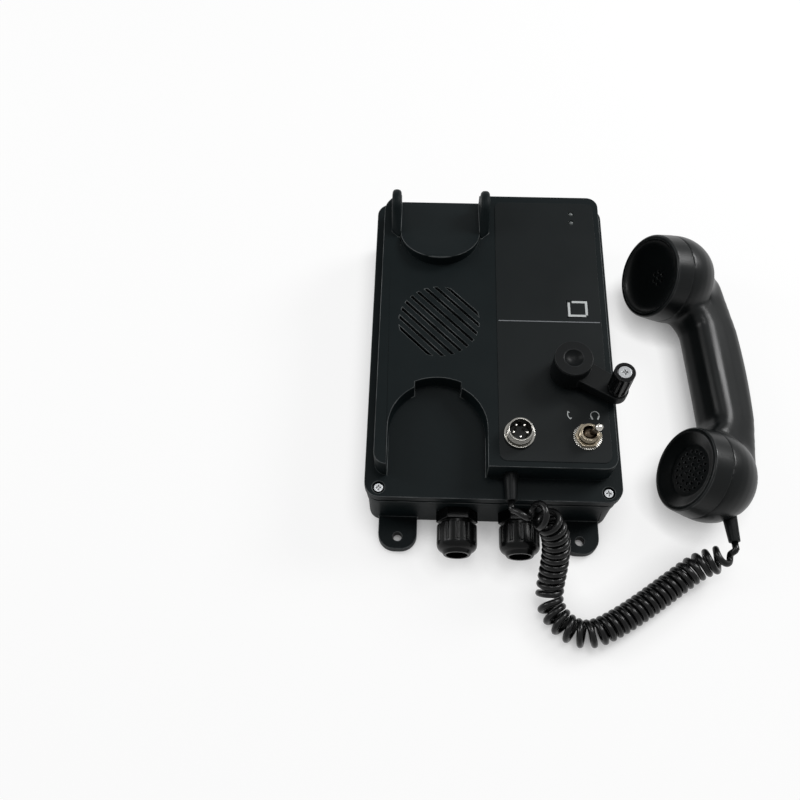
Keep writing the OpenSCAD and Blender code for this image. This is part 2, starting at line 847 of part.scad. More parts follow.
module base_housing() {
    color(housing_black) difference() {
        union() {
            difference() {
                union() {
                    flange_slab(base_wall_inset, base_h - rim_h);
                    translate([0, 0, base_h - rim_h]) flange_slab(base_inset, rim_h);
                }
                translate([0, 0, wall]) flange_slab(base_wall_inset + wall, base_h - rim_h - wall);
                translate([0, 0, base_h - rim_h - over])
                    flange_slab(base_inset + rim_w, rim_h + 2 * over);
            }
            lugs();
            intersection() {
                mirror_pair() translate([screw_x, screw_y, 0]) cylinder(r = screw_boss_r, h = base_h);
                flange_slab(base_wall_inset, base_h);
            }
        }
        mirror_pair() translate([screw_x, screw_y, screw_end_z - over])
            cylinder(d = screw_hole_d, h = screw_bite + 2 * over);
        for (sx = [-1, 1], sy = [-1, 1])
            translate([sx * lug_x, sy * lug_hole_y, -over]) cylinder(d = lug_hole_d, h = lug_t + 2 * over);
        for (side = [-1, 1])
            in_gland(side) translate([0, 0, -2 * wall]) cylinder(d = gland_d + 2 * fit_gap, h = 3 * wall);
    }
}

module cover_gasket() {
    color("#0c0d0d") translate([0, 0, base_h]) difference() {
        union() {
            difference() {
                flange_slab(gasket_inset, gasket_t);
                translate([0, 0, -over]) flange_slab(gasket_inset + gasket_w, gasket_t + 2 * over);
            }
            intersection() {
                mirror_pair() translate([screw_x, screw_y, 0]) cylinder(r = screw_boss_r, h = gasket_t);
                flange_slab(gasket_inset, gasket_t);
            }
        }
        mirror_pair() translate([screw_x, screw_y, -over])
            cylinder(d = screw_hole_d, h = gasket_t + 2 * over);
    }
}

function pocket_outline(r) = concat(
    arc(cradle_x, pocket_y, r, 0, 180, 4 * corner_steps),
    [[cradle_x - r, -housing_l / 2 - over], [cradle_x + r, -housing_l / 2 - over]]);

// Shallower arc that steps up from the middle of the arch
function notch_outline(grow) =
    let (half = notch_w / 2 + grow, r = notch_r + grow, spread = asin(half / r))
    concat(
        arc(cradle_x, pocket_top_y - notch_r, r, 90 - spread, 90 + spread, corner_steps),
        [[cradle_x - half, pocket_y], [cradle_x + half, pocket_y]]);

function pocket_floor_z(y) = flange_top + max(y - raised_front, 0) * pocket_slope;

// Room above the pocket's sloping floor, or above its underside when sunk by a wall
module pocket_room(grow, sink) {
    intersection() {
        linear_extrude(sky) union() {
            polygon(pocket_outline(pocket_r + grow));
            polygon(notch_outline(grow));
        }
        side_prism([
            [-housing_l / 2 - over, pocket_floor_z(raised_front) - sink],
            [raised_front, pocket_floor_z(raised_front) - sink],
            [raised_back, pocket_floor_z(raised_back) - sink],
            [raised_back, sky],
            [-housing_l / 2 - over, sky]], -housing_w, housing_w);
    }
}

function seat_outline(r) = concat(
    arc(cradle_x, seat_y, r, 180, 360, 4 * corner_steps),
    [[cradle_x + r, raised_back + over], [cradle_x - r, raised_back + over]]);

function seat_z(y) = seat_front_z + (y - seat_front_y) * seat_slope;

module seat_room(grow, sink) {
    y0 = seat_front_y - wall - over;
    y1 = raised_back + over;
    intersection() {
        linear_extrude(sky) polygon(seat_outline(seat_r + grow));
        side_prism([[y0, seat_z(y0) - sink], [y1, seat_z(y1) - sink], [y1, sky], [y0, sky]],
            -housing_w, housing_w);
    }
}

// Half-moon ramp that the ear cap leans on
module seat_ramp() {
    y0 = seat_front_y - over;
    y1 = seat_front_y + lip_h / -seat_slope;
    intersection() {
        linear_extrude(sky) polygon(seat_outline(seat_r));
        side_prism([[y0, face_z - wall], [y1, face_z - wall], [y1, seat_z(y1)], [y0, seat_z(y0)]],
            -housing_w, housing_w);
    }
}

// Round disc on edge with a rounded rim, from x = 0 outwards
module rim_disc(r, t) {
    edge = min(ear_edge, t / 2);
    rotate([0, 90, 0]) rotate_extrude($fn = ear_fn) polygon(concat(
        [[0, 0]],
        arc(r - edge, edge, edge, -90, 0, corner_steps / 2),
        arc(r - edge, t - edge, edge, 0, 90, corner_steps / 2),
        [[0, t]]));
}

// Thick lug with a round edge; its outer side draws in towards the foot
module cradle_ear() {
    top_z = face_z + ear_h - ear_top_r;
    intersection() {
        hull() {
            translate([seat_r, ear_top_y, top_z]) rim_disc(ear_top_r, ear_t);
            translate([seat_r, ear_top_y, face_z - ear_top_r]) rim_disc(ear_top_r, ear_t);
            translate([seat_r, ear_foot_y + ear_heel, face_z]) rim_disc(ear_heel_r, ear_t);
            translate([seat_r, ear_foot_y + ear_tip, face_z]) rim_disc(ear_tip, ear_tip);
        }
        translate([0, 0, face_z - ear_root]) cube([housing_w, housing_l, sky_h]);
    }
}

module cradle_ears() {
    translate([cradle_x, 0, 0]) mirror_pair() cradle_ear();
}

// Two tongues that hook under the rear housing's rim
module cover_hooks() {
    under_rim = base_h - rim_h - side_gap;
    profile = [
        [hook_y - hook_t, flange_z + over], [hook_y, flange_z + over], [hook_y, under_rim],
        [hook_y + hook_lip, under_rim], [hook_y + hook_lip, under_rim - hook_drop],
        [hook_y - hook_t, under_rim - hook_drop]];
    mirror_pair() side_prism(profile, hook_x - hook_w / 2, hook_x + hook_w / 2);
}

module grille_slots() {
    translate([grille_x, grille_y, ceiling - over]) intersection() {
        cylinder(r = grille_r, h = wall + 2 * over);
        rotate([0, 0, slot_angle])
            for (i = [-slot_half:slot_half])
                translate([-grille_r, i * slot_pitch - slot_w / 2, 0])
                    cube([2 * grille_r, slot_w, wall + 2 * over]);
    }
}

module cover_holes() {
    hole_z = ceiling - over;
    hole_h = wall + 2 * over;
    translate([crank_x, crank_y, hole_z]) cylinder(d = bush_d + 2 * fit_gap, h = hole_h);
    translate([socket_x, socket_y, hole_z]) cylinder(d = socket_d + 2 * fit_gap, h = hole_h);
    translate([toggle_x, toggle_y, hole_z]) cylinder(d = toggle_d + 2 * fit_gap, h = hole_h);
    for (i = [0, 1])
        translate([led_x, led_y - i * led_pitch, hole_z]) cylinder(d = led_d + 2 * side_gap, h = hole_h);
    translate([key_x, key_y, hole_z]) cylinder(d = plunger_d + 2 * side_gap, h = hole_h);
    translate([key_x - key_w / 2 - side_gap, key_y - key_l / 2 - side_gap, key_floor])
        cube([key_w + 2 * side_gap, key_l + 2 * side_gap, wall]);
    translate([boot_x, raised_front - over, boot_z])
        rotate([-90, 0, 0]) cylinder(d = boot_neck_d + 2 * fit_gap, h = wall + 2 * over);
    mirror_pair() translate([screw_x, screw_y, flange_z - over])
        cylinder(d = screw_hole_d, h = flange_t + 2 * over);
    mirror_pair() translate([screw_x, screw_y, screw_seat_z])
        cylinder(d = screw_sink_d, h = screw_sink + over);
}

module cover_bosses() {
    difference() {
        union() {
            at_board_screws() translate([0, 0, board_top]) cylinder(r = board_boss_r, h = board_gap + over);
            at_frame_screws() translate([0, 0, gen_top]) cylinder(r = gen_boss_r, h = gen_gap + over);
            translate([grille_x, grille_y, ceiling - locator_h])
                tube(2 * (speaker_r + side_gap + locator_t), 2 * (speaker_r + side_gap), locator_h + over);
        }
        at_board_screws() translate([0, 0, board_top - over])
            cylinder(d = board_screw_d + 2 * fit_gap, h = board_bite + over);
        at_frame_screws() translate([0, 0, gen_top - over])
            cylinder(d = gen_screw_d + 2 * fit_gap, h = gen_bite + over);
    }
}

module front_cover() {
    color(housing_black) union() {
        difference() {
            union() {
                translate([0, 0, flange_z]) flange_slab(0, flange_t);
                translate([0, 0, flange_z]) raised_slab(0, face_z - flange_z);
                seat_ramp();
            }
            difference() {
                translate([0, 0, flange_z - over]) raised_slab(wall, ceiling - flange_z + over);
                pocket_room(wall, wall);
                seat_room(wall, wall);
            }
            pocket_room(0, 0);
            seat_room(0, 0);
            grille_slots();
            cover_holes();
        }
        cradle_ears();
        cover_hooks();
        cover_bosses();
    }
}

module cover_screws() {
    color(steel) mirror_pair() translate([screw_x, screw_y, 0]) difference() {
        union() {
            translate([0, 0, screw_end_z]) cylinder(d = screw_d, h = screw_seat_z - screw_end_z + over);
            translate([0, 0, screw_seat_z]) cylinder(d = screw_head_d, h = screw_head_h);
        }
        translate([0, 0, screw_seat_z + screw_head_h]) cross_recess();
    }
}

module cross_recess() {
    for (turn = [0, 90])
        rotate([0, 0, turn]) cube([cross_l, cross_w, 2 * cross_depth], center = true);
}

// Panel sheet, key, lamps and circuit board

module panel_overlay() {
    color(panel_grey) difference() {
        translate([panel_x, (panel_y0 + panel_y1) / 2, face_z])
            slab(panel_w, panel_y1 - panel_y0, panel_r, panel_t);
        translate([0, 0, face_z - over]) {
            cut = panel_t + 2 * over;
            translate([crank_x, crank_y, 0]) cylinder(d = bush_d + 2 * fit_gap, h = cut);
            translate([socket_x, socket_y, 0]) cylinder(d = socket_d + 2 * fit_gap, h = cut);
            translate([toggle_x, toggle_y, 0]) cylinder(d = toggle_d + 2 * fit_gap, h = cut);
            for (i = [0, 1])
                translate([led_x, led_y - i * led_pitch, 0]) cylinder(d = led_d + 2 * side_gap, h = cut);
            translate([key_x - key_w / 2 - side_gap, key_y - key_l / 2 - side_gap, 0])
                cube([key_w + 2 * side_gap, key_l + 2 * side_gap, cut]);
        }
    }
}

module call_key() {
    color(panel_grey) translate([key_x, key_y, 0]) {
        translate([-key_w / 2, -key_l / 2, key_top - key_t]) cube([key_w, key_l, key_t]);
        translate([0, 0, key_end]) cylinder(d = plunger_d, h = key_top - key_t - key_end + over);
    }
}

module led(row) {
    lens_z = panel_z + led_proud - led_d / 2;
    color("#6f7372") translate([led_x, led_y - row * led_pitch, 0]) {
        translate([0, 0, board_top]) cylinder(d = led_d, h = lens_z - board_top);
        translate([0, 0, lens_z]) sphere(d = led_d);
    }
}

module upper_led() { led(0); }

module lower_led() { led(1); }

module circuit_board() {
    color("#1f5a38") difference() {
        translate([panel_x - board_w / 2, board_y0, board_z]) cube([board_w, board_l, board_t]);
        at_board_screws() translate([0, 0, board_z - over])
            cylinder(d = board_screw_d + 4 * fit_gap, h = board_t + 2 * over);
    }
}

module board_screws() {
    color(steel) at_board_screws() {
        translate([0, 0, board_z - board_head_h]) cylinder(d = board_head_d, h = board_head_h);
        translate([0, 0, board_z - board_head_h / 2])
            cylinder(d = board_screw_d, h = board_head_h / 2 + board_t + board_bite - 2 * side_gap);
    }
}

module call_switch() {
    color("#2b2b2b") translate([key_x, key_y, board_top]) {
        translate([-switch_w / 2, -switch_w / 2, 0]) cube([switch_w, switch_w, switch_h]);
        cylinder(d = button_d, h = button_top - board_top);
    }
}

module line_transformer() {
    color("#5a4a2c")
        translate([panel_x - transformer_w, led_y - transformer_drop, board_z - transformer_h])
            cube([transformer_w, transformer_l, transformer_h]);
}

// Crank

// Plan of a tapered bar with round ends, from the origin along X
function bar_outline(r0, r1, l) =
    let (lean = asin((r0 - r1) / l))
    concat(arc(0, 0, r0, 90 - lean, 270 + lean, 2 * corner_steps),
        arc(l, 0, r1, lean - 90, 90 - lean, 2 * corner_steps));

module crank_arm() {
    color(gloss_black) translate([crank_x, crank_y, 0]) difference() {
        union() {
            translate([0, 0, hub_z]) cylinder(d = hub_d, h = hub_h);
            rotate([0, 0, arm_angle]) translate([0, 0, arm_z])
                linear_extrude(arm_t) polygon(bar_outline(arm_hub_w / 2, arm_end_w / 2, arm_len));
        }
        translate([0, 0, hub_z - over]) cylinder(d = shaft_d + 2 * fit_gap, h = hub_h + 2 * over);
        translate([0, 0, shaft_top]) cylinder(d = hub_recess_d, h = hub_top - shaft_top + over);
        rotate([0, 0, arm_angle]) translate([arm_len, 0, arm_z - over])
            cylinder(d = knob_thread_d + 2 * fit_gap, h = arm_t + 2 * over);
    }
}

module hub_cap() {
    dish_r = (pow(dish_d / 2, 2) + pow(dish_depth, 2)) / (2 * dish_depth);
    color(gloss_black) translate([crank_x, crank_y, hub_top]) difference() {
        union() {
            cylinder(d = hub_d, h = hub_cap_t);
            translate([0, 0, -cap_plug_l]) cylinder(d = hub_recess_d - 2 * fit_gap, h = cap_plug_l + over);
        }
        translate([0, 0, hub_cap_t + dish_r - dish_depth]) sphere(r = dish_r);
    }
}

module crank_shaft() {
    color(steel) translate([crank_x, crank_y, 0]) difference() {
        translate([0, 0, gear_z - over]) cylinder(d = shaft_d, h = shaft_top - gear_z + over);
        translate([0, 0, shaft_top - fixing_l]) cylinder(d = fixing_d + 2 * fit_gap, h = fixing_l + over);
    }
}

module crank_screw() {
    color(steel) translate([crank_x, crank_y, shaft_top]) difference() {
        union() {
            cylinder(d = fixing_head_d, h = fixing_head_h);
            translate([0, 0, 1 - fixing_l]) cylinder(d = fixing_d, h = fixing_l);
        }
        translate([0, 0, fixing_head_h]) cross_recess();
    }
}

module crank_bush() {
    color(brass_tint) translate([crank_x, crank_y, 0]) difference() {
        union() {
            translate([0, 0, ceiling - bush_drop])
                cylinder(d = bush_d, h = panel_z + bush_proud - ceiling + bush_drop);
            translate([0, 0, ceiling - bush_flange_t]) cylinder(d = bush_flange_d, h = bush_flange_t);
        }
        translate([0, 0, ceiling - bush_drop - over])
            cylinder(d = shaft_d + 2 * run_gap, h = bush_drop + wall + hub_gap + 2 * over);
    }
}

module crank_knob() {
    color(gloss_black) translate([knob_x, knob_y, 0]) difference() {
        translate([0, 0, knob_z]) cylinder(d = knob_d, h = knob_l);
        translate([0, 0, knob_z - over]) cylinder(d = knob_pin_d + 2 * run_gap, h = knob_l + 2 * over);
        translate([0, 0, knob_head_z - side_gap])
            cylinder(d = knob_head_d + 2 * side_gap, h = knob_head_h + 2 * over);
        for (i = [0:knob_flutes - 1])
            rotate([0, 0, 360 * i / knob_flutes])
                translate([knob_d / 2, 0, knob_z + flute_d])
                    cylinder(d = flute_d, h = knob_l - 2 * flute_d);
    }
}

module knob_pin() {
    color("#a9abab") translate([knob_x, knob_y, 0]) difference() {
        union() {
            translate([0, 0, arm_z]) cylinder(d = knob_thread_d, h = arm_t + over);
            translate([0, 0, arm_top]) cylinder(d = knob_pin_d, h = knob_head_z - arm_top + over / 2);
            translate([0, 0, knob_head_z]) cylinder(d = knob_head_d, h = knob_head_h);
        }
        translate([0, 0, knob_head_z + knob_head_h]) cross_recess();
    }
}

// Calling generator

// Angle in degrees that an involute has turned at radius r
function involute_turn(r, base_r) =
    let (t = sqrt(max(pow(r / base_r, 2) - 1, 0))) t * 180 / PI - atan(t);

function gear_outline(teeth) =
    let (
        pitch_r = gear_module * teeth / 2,
        base_r = pitch_r * cos(pressure_angle),
        tip_r = pitch_r + addendum * gear_module,
        root_r = pitch_r - dedendum * gear_module,
        flank_r = max(base_r, root_r),
        half = 90 / teeth - backlash / 4 / pitch_r * 180 / PI + involute_turn(pitch_r, base_r),
        radii = [for (i = [0:flank_steps]) flank_r + (tip_r - flank_r) * i / flank_steps],
        foot = root_r < base_r ? [[root_r, half]] : [],
        flank = concat(foot, [for (r = radii) [r, half - involute_turn(r, base_r)]]),
        count = len(flank))
    [for (tooth = [0:teeth - 1], side = [-1, 1], i = [0:count - 1])
        let (
            step = flank[side < 0 ? i : count - 1 - i],
            a = 360 * tooth / teeth + side * step[1])
        step[0] * [cos(a), sin(a)]];

module drive_gear() {
    color(brass_tint) translate([crank_x, crank_y, gear_z]) difference() {
        rotate([0, 0, 90]) linear_extrude(gear_t) polygon(gear_outline(gear_teeth));
        translate([0, 0, -over]) cylinder(d = shaft_d + 2 * fit_gap, h = gear_t + 2 * over);
    }
}

module rotor_pinion() {
    color(steel) translate([rotor_x, rotor_y, 0]) {
        translate([0, 0, gen_low]) cylinder(d = rotor_shaft_d, h = gen_h);
        translate([0, 0, gear_z - pinion_extra])
            rotate([0, 0, -90 + 180 / pinion_teeth])
                linear_extrude(gear_t + 2 * pinion_extra) polygon(gear_outline(pinion_teeth));
    }
}

module rotor_magnet() {
    color("#4a4d52") translate([rotor_x, rotor_y, rotor_z])
        tube(rotor_d, rotor_shaft_d + 2 * fit_gap, rotor_l);
}

module stator_can() {
    color(steel) translate([rotor_x, rotor_y, stator_z]) difference() {
        cylinder(d = stator_d, h = stator_h);
        translate([0, 0, stator_wall])
            cylinder(d = stator_d - 2 * stator_wall, h = stator_h - 2 * stator_wall);
        translate([0, 0, -over]) cylinder(d = stator_hole_d, h = stator_h + 2 * over);
    }
}

module stator_coil() {
    color("#9a5a2c") translate([rotor_x, rotor_y, stator_z + stator_wall + fit_gap])
        tube(stator_d - 2 * stator_wall - 2 * fit_gap, coil_d, stator_h - 2 * stator_wall - 2 * fit_gap);
}

module generator_frame() {
    color(steel) difference() {
        union() {
            translate([crank_x - gen_w / 2, gen_front_y, gen_under])
                cube([gen_w, gen_back_y - gen_front_y, gen_plate_t]);
            translate([rotor_x - gen_low_w / 2, gen_side_y, gen_low])
                cube([gen_low_w, gen_plate_t, gen_h]);
            translate([rotor_x - gen_low_w / 2, gen_low_front_y, gen_low])
                cube([gen_low_w, gen_back_y - gen_low_front_y, gen_plate_t]);
        }
        translate([crank_x, crank_y, gen_under - over])
            cylinder(d = shaft_d + 2 * run_gap, h = gen_plate_t + 2 * over);
        translate([rotor_x, rotor_y, gen_low - over])
            cylinder(d = rotor_shaft_d + 2 * run_gap, h = gen_h + 2 * over);
        at_frame_screws() translate([0, 0, gen_under - over])
            cylinder(d = gen_screw_d + 4 * fit_gap, h = gen_plate_t + 2 * over);
    }
}

module generator_screws() {
    color(steel) at_frame_screws() {
        translate([0, 0, gen_under - gen_screw_head_h]) cylinder(d = gen_head_d, h = gen_screw_head_h);
        translate([0, 0, gen_under - gen_screw_head_h / 2])
            cylinder(d = gen_screw_d, h = gen_screw_head_h / 2 + gen_plate_t + gen_bite - 2 * side_gap);
    }
}

// Loudspeaker behind the grille

module grille_cloth() {
    color("#16181a") translate([grille_x, grille_y, speaker_z]) cylinder(r = speaker_r, h = cloth_t);
}

module speaker_frame() {
    inner_r = speaker_r - speaker_ring_w;
    neck_r = speaker_magnet_r - basket_t;
    color(steel) translate([grille_x, grille_y, speaker_z]) rotate_extrude() polygon([
        [inner_r, 0], [speaker_r, 0], [speaker_r, -speaker_ring_t],
        [inner_r + basket_t, -speaker_ring_t], [speaker_magnet_r, basket_t - basket_depth],
        [speaker_magnet_r, -basket_depth], [cone_neck_r, -basket_depth],
        [cone_neck_r, basket_t - basket_depth], [neck_r, basket_t - basket_depth],
        [inner_r, -speaker_ring_t]]);
}

module speaker_cone() {
    rim_r = speaker_r - speaker_ring_w - fit_gap;
    deep = basket_depth - basket_t - cone_t - cone_gap;
    color("#232323") translate([grille_x, grille_y, speaker_z - cone_t]) rotate_extrude() polygon([
        [0, -deep + cone_t], [cone_neck_r, -deep + cone_t], [rim_r - cone_t, 0], [rim_r, 0],
        [rim_r, -cone_t], [cone_neck_r, -deep], [0, -deep]]);
}

module speaker_magnet() {
    color("#3c3f43") translate([grille_x, grille_y, speaker_z - basket_depth - speaker_magnet_t])
        cylinder(r = speaker_magnet_r, h = speaker_magnet_t);
}

// Panel socket

module at_pins() {
    for (i = [0:pin_count - 1])
        rotate([0, 0, -90 + 360 * i / pin_count]) translate([pin_ring_r, 0, 0]) children();
}

module socket_shell() {
    color(nickel) translate([socket_x, socket_y, 0]) difference() {
        union() {
            translate([0, 0, socket_z]) cylinder(d = socket_d, h = socket_top - socket_z);
            translate([0, 0, ceiling - socket_flange_t]) cylinder(d = socket_flange_d, h = socket_flange_t);
        }
        translate([0, 0, socket_z - over]) cylinder(d = well_d, h = socket_top - socket_z + 2 * over);
    }
}

module socket_insert() {
    color("#0b0b0c") translate([socket_x, socket_y, socket_z]) difference() {
        cylinder(d = well_d - 2 * fit_gap, h = well_z - socket_z);
        at_pins() translate([0, 0, -over])
            cylinder(d = pin_d + 2 * fit_gap, h = well_z - socket_z + 2 * over);
        translate([-key_notch / 2, well_d / 2 - key_notch, well_z - socket_z - key_notch])
            cube([key_notch, 2 * key_notch, 2 * key_notch]);
    }
}

module socket_pins() {
    color("#d8d4c8") translate([socket_x, socket_y, socket_z - pin_tail])
        at_pins() cylinder(d = pin_d, h = pin_top - socket_z + pin_tail);
}

module socket_nut() {
    color(nickel) translate([socket_x, socket_y, panel_z])
        tube(socket_nut_d, socket_d + 2 * fit_gap, socket_nut_t);
}

// Toggle switch

module toggle_body() {
    color("#1a1a1a") translate([toggle_x, toggle_y, ceiling - toggle_body_h]) {
        translate([-toggle_body_w / 2, -toggle_body_l / 2, 0])
            cube([toggle_body_w, toggle_body_l, toggle_body_h]);
        for (i = [-1:1])
            translate([i * tag_pitch - tag_t / 2, -tag_w / 2, -tag_l]) cube([tag_t, tag_w, tag_l + over]);
    }
}

module toggle_bushing() {
    color(nickel) translate([toggle_x, toggle_y, ceiling])
        tube(toggle_d, toggle_bore_d, toggle_top - ceiling);
}

module toggle_washer() {
    color(nickel) translate([toggle_x, toggle_y, panel_z])
        tube(washer_d, toggle_d + 2 * fit_gap, washer_t);
}

module toggle_nut() {
    color(nickel) translate([toggle_x, toggle_y, panel_z + washer_t]) difference() {
        hexagon(toggle_nut_w, toggle_nut_t);
        translate([0, 0, -over]) cylinder(d = toggle_d + 2 * fit_gap, h = toggle_nut_t + 2 * over);
    }
}

module toggle_lever() {
    neck_l = lever_l - lever_tip_d / 2;
    color(nickel) translate([toggle_x, toggle_y, pivot_z]) rotate([0, lever_angle, 0]) {
        sphere(d = lever_ball_d);
        translate([0, 0, -lever_tail_l]) cylinder(d = lever_tail_d, h = lever_tail_l);
        cylinder(d1 = lever_neck_d, d2 = lever_end_d, h = neck_l);
        translate([0, 0, neck_l]) sphere(d = lever_tip_d);
    }
}

// Cable glands in the lower wall: local Z runs out of the wall

function gland_x(side) = gland_mid + side * gland_pitch / 2;

module in_gland(side) {
    translate([gland_x(side), -wall_y, gland_z]) rotate([90, 0, 0]) children();
}

module gland_body(side) {
    color(gloss_black) in_gland(side) difference() {
        union() {
            hexagon(gland_hex, gland_hex_l);
            cylinder(d = gland_neck_d, h = gland_neck_end);
            translate([0, 0, -wall - gland_inner_l]) cylinder(d = gland_d, h = wall + gland_inner_l + over);
        }
        translate([0, 0, -wall - gland_inner_l - over])
            cylinder(d = gland_mouth_d, h = gland_neck_end + wall + gland_inner_l + 2 * over);
        translate([0, 0, seal_z]) cylinder(d = seal_d + 2 * fit_gap, h = gland_neck_end);
    }
}

module gland_nut(side) {
    shoulder = gland_nut_end - gland_dome_l;
    color(gloss_black) in_gland(side) difference() {
        rotate_extrude() polygon(concat(
            [[0, gland_nut_z], [gland_nut_d / 2, gland_nut_z], [gland_nut_d / 2, shoulder]],
            arc(gland_nut_d / 2 - gland_dome_r, shoulder, gland_dome_r, 20, 70, 3),
            [[gland_mouth_d / 2 + gland_lip, gland_nut_end], [0, gland_nut_end]]));
        translate([0, 0, gland_nut_z - over])
            cylinder(d = gland_nut_bore_d, h = gland_neck_end - gland_nut_z + over + side_gap);
        translate([0, 0, gland_nut_z]) cylinder(d = seal_d + 2 * fit_gap, h = seal_end - gland_nut_z);
        translate([0, 0, gland_nut_z]) cylinder(d = gland_mouth_d, h = gland_nut_l + over);
        for (i = [0:gland_flutes - 1])
            rotate([0, 0, 360 * i / gland_flutes])
                translate([gland_nut_d / 2 + flute_proud, 0, gland_nut_z - over])
                    cylinder(d = gland_flute_d, h = shoulder - gland_nut_z);
    }
}

module gland_seal(side) {
    color("#202020") in_gland(side) translate([0, 0, seal_z])
        tube(seal_d, gland_bore_d, seal_end - seal_z);
}

module gland_locknut(side) {
    color(gloss_black) in_gland(side) translate([0, 0, -wall - locknut_t]) difference() {
        hexagon(gland_hex, locknut_t);
        translate([0, 0, -over]) cylinder(d = gland_d + 2 * fit_gap, h = locknut_t + 2 * over);
    }
}

module left_gland_body() { gland_body(-1); }

module left_gland_nut() { gland_nut(-1); }

module left_gland_seal() { gland_seal(-1); }

module left_gland_locknut() { gland_locknut(-1); }

module right_gland_body() { gland_body(1); }

module right_gland_nut() { gland_nut(1); }

module right_gland_seal() { gland_seal(1); }

module right_gland_locknut() { gland_locknut(1); }

module at_terminals() {
    for (i = [0:terminal_count - 1])
        translate([(i - (terminal_count - 1) / 2) * terminal_pitch, terminal_y, wall + terminal_h])
            children();
}

module terminal_block() {
    color("#cfc8b4") difference() {
        translate([-terminal_w / 2, terminal_y - terminal_l / 2, wall])
            cube([terminal_w, terminal_l, terminal_h]);
        at_terminals() translate([0, 0, -terminal_h / 2])
            cylinder(d = terminal_screw_d + 2 * fit_gap, h = terminal_h);
    }
}

module terminal_screws() {
    color(brass_tint) at_terminals() difference() {
        translate([0, 0, -terminal_h / 2]) cylinder(d = terminal_screw_d, h = terminal_h / 2 - side_gap);
        translate([0, 0, -side_gap]) cube([2 * terminal_screw_d, cross_w, 2 * cross_depth], center = true);
    }
}

// Handset: local Y runs from the mouth cap to the ear cap, local Z the way the caps face

function turn_x(v, a) = [v.x, v.y * cos(a) - v.z * sin(a), v.y * sin(a) + v.z * cos(a)];

function turn_y(v, a) = [v.x * cos(a) + v.z * sin(a), v.y, v.z * cos(a) - v.x * sin(a)];

function turn_z(v, a) = [v.x * cos(a) - v.y * sin(a), v.x * sin(a) + v.y * cos(a), v.z];

function handset_turn(v) = turn_z(turn_x(turn_y(v, handset_lean - 90), handset_pitch), handset_yaw);

function handset_point(v) = handset_at + handset_turn(v);

module in_handset() {
    translate(handset_at)
        rotate([0, 0, handset_yaw])
            rotate([handset_pitch, 0, 0])
                rotate([0, handset_lean - 90, 0]) children();
}

module in_ear() {
    in_handset() translate([0, cap_pitch / 2, 0]) rotate([ear_tilt, 0, 0]) children();
}

module in_mouth() {
    in_handset() translate([0, -cap_pitch / 2, 0]) rotate([-mouth_tilt, 0, 0]) children();
}

function collar_r(rim_r) = rim_r - cap_t - thread_gap;

function cavity_r(rim_r) = collar_r(rim_r) - collar_t;

// Cup behind a cap: a domed body with a threaded collar, closed at the back
module cup(rim_r) {
    seam_r = rim_r + cap_flare;
    full_r = seam_r + cup_swell;
    dome = [for (i = [0:dome_steps]) let (a = 90 * i / dome_steps) [
        full_r * pow(cos(a), 2 / cup_power),
        -cup_full_z - (cup_depth - cup_full_z) * pow(sin(a), 2 / cup_power)]];
    rotate_extrude() polygon(concat(
        [[0, collar_h - cap_h], [collar_r(rim_r), collar_h - cap_h], [collar_r(rim_r), -cap_h],
         [seam_r, -cap_h]],
        [for (i = [0:dome_steps - 1]) dome[i]],
        [[0, -cup_depth]]));
}

module cup_cavity(rim_r) {
    translate([0, 0, -cavity_z]) cylinder(r = cavity_r(rim_r), h = cavity_z + over);
}

function signed_pow(v, e) = sign(v) * pow(abs(v), e);

function grip_half(y) = grip_w / 2 + grip_flare * pow(abs(y) / grip_end, 3);

function grip_back(y) = pow(y - grip_bow_y, 2) / (2 * grip_bow_r) - grip_back_z;

function grip_front(y) =
    let (t = min(max(abs(y) - grip_flat, 0), grip_fillet))
    grip_fillet - sqrt(pow(grip_fillet, 2) - t * t) - grip_front_z;

// Ring of a rounded bar at a station along the grip
function grip_ring(y) =
    let (mid = (grip_front(y) + grip_back(y)) / 2, half = (grip_front(y) - grip_back(y)) / 2)
    [for (i = [0:grip_sides - 1]) let (a = 360 * i / grip_sides) [
        grip_half(y) * signed_pow(cos(a), 2 / grip_power), y,
        mid - half * signed_pow(sin(a), 2 / grip_power)]];

// Triangles of a closed skin over a list of rings with the same number of points
function skin_faces(rings, sides) = concat(
    [for (i = [1:sides - 2]) [0, i, i + 1]],
    [for (r = [0:rings - 2], i = [0:sides - 1], half = [0, 1])
        let (a = r * sides + i, b = r * sides + (i + 1) % sides)
        half == 0 ? [a, a + sides, b] : [b, a + sides, b + sides]],
    [for (i = [1:sides - 2]) let (o = (rings - 1) * sides) [o, o + i + 1, o + i]]);

module grip() {
    points = [for (k = [0:grip_steps], p = grip_ring(-grip_end + 2 * grip_end * k / grip_steps)) p];
    polyhedron(points, skin_faces(grip_steps + 1, grip_sides));
}

module hand_boot_axis() {
    translate([0, -hand_boot_root, hand_boot_z]) rotate([90, 0, 0]) children();
}

module handset_shell() {
    color(gloss_black) in_handset() difference() {
        union() {
            grip();
            translate([0, cap_pitch / 2, 0]) rotate([ear_tilt, 0, 0]) cup(ear_rim_r);
            translate([0, -cap_pitch / 2, 0]) rotate([-mouth_tilt, 0, 0]) cup(mouth_rim_r);
        }
        translate([0, cap_pitch / 2, 0]) rotate([ear_tilt, 0, 0]) cup_cavity(ear_rim_r);
        translate([0, -cap_pitch / 2, 0]) rotate([-mouth_tilt, 0, 0]) cup_cavity(mouth_rim_r);
        hand_boot_axis() cylinder(d = boot_d + 2 * fit_gap, h = hand_boot_l);
    }
}

module hole_rings(rings) {
    for (k = [0:rings], i = [0:max(6 * k - 1, 0)])
        rotate([0, 0, k == 0 ? 0 : 60 * i / k])
            translate([k * hole_pitch, 0, -2 * cap_h]) cylinder(d = hole_d, h = 3 * cap_h);
}

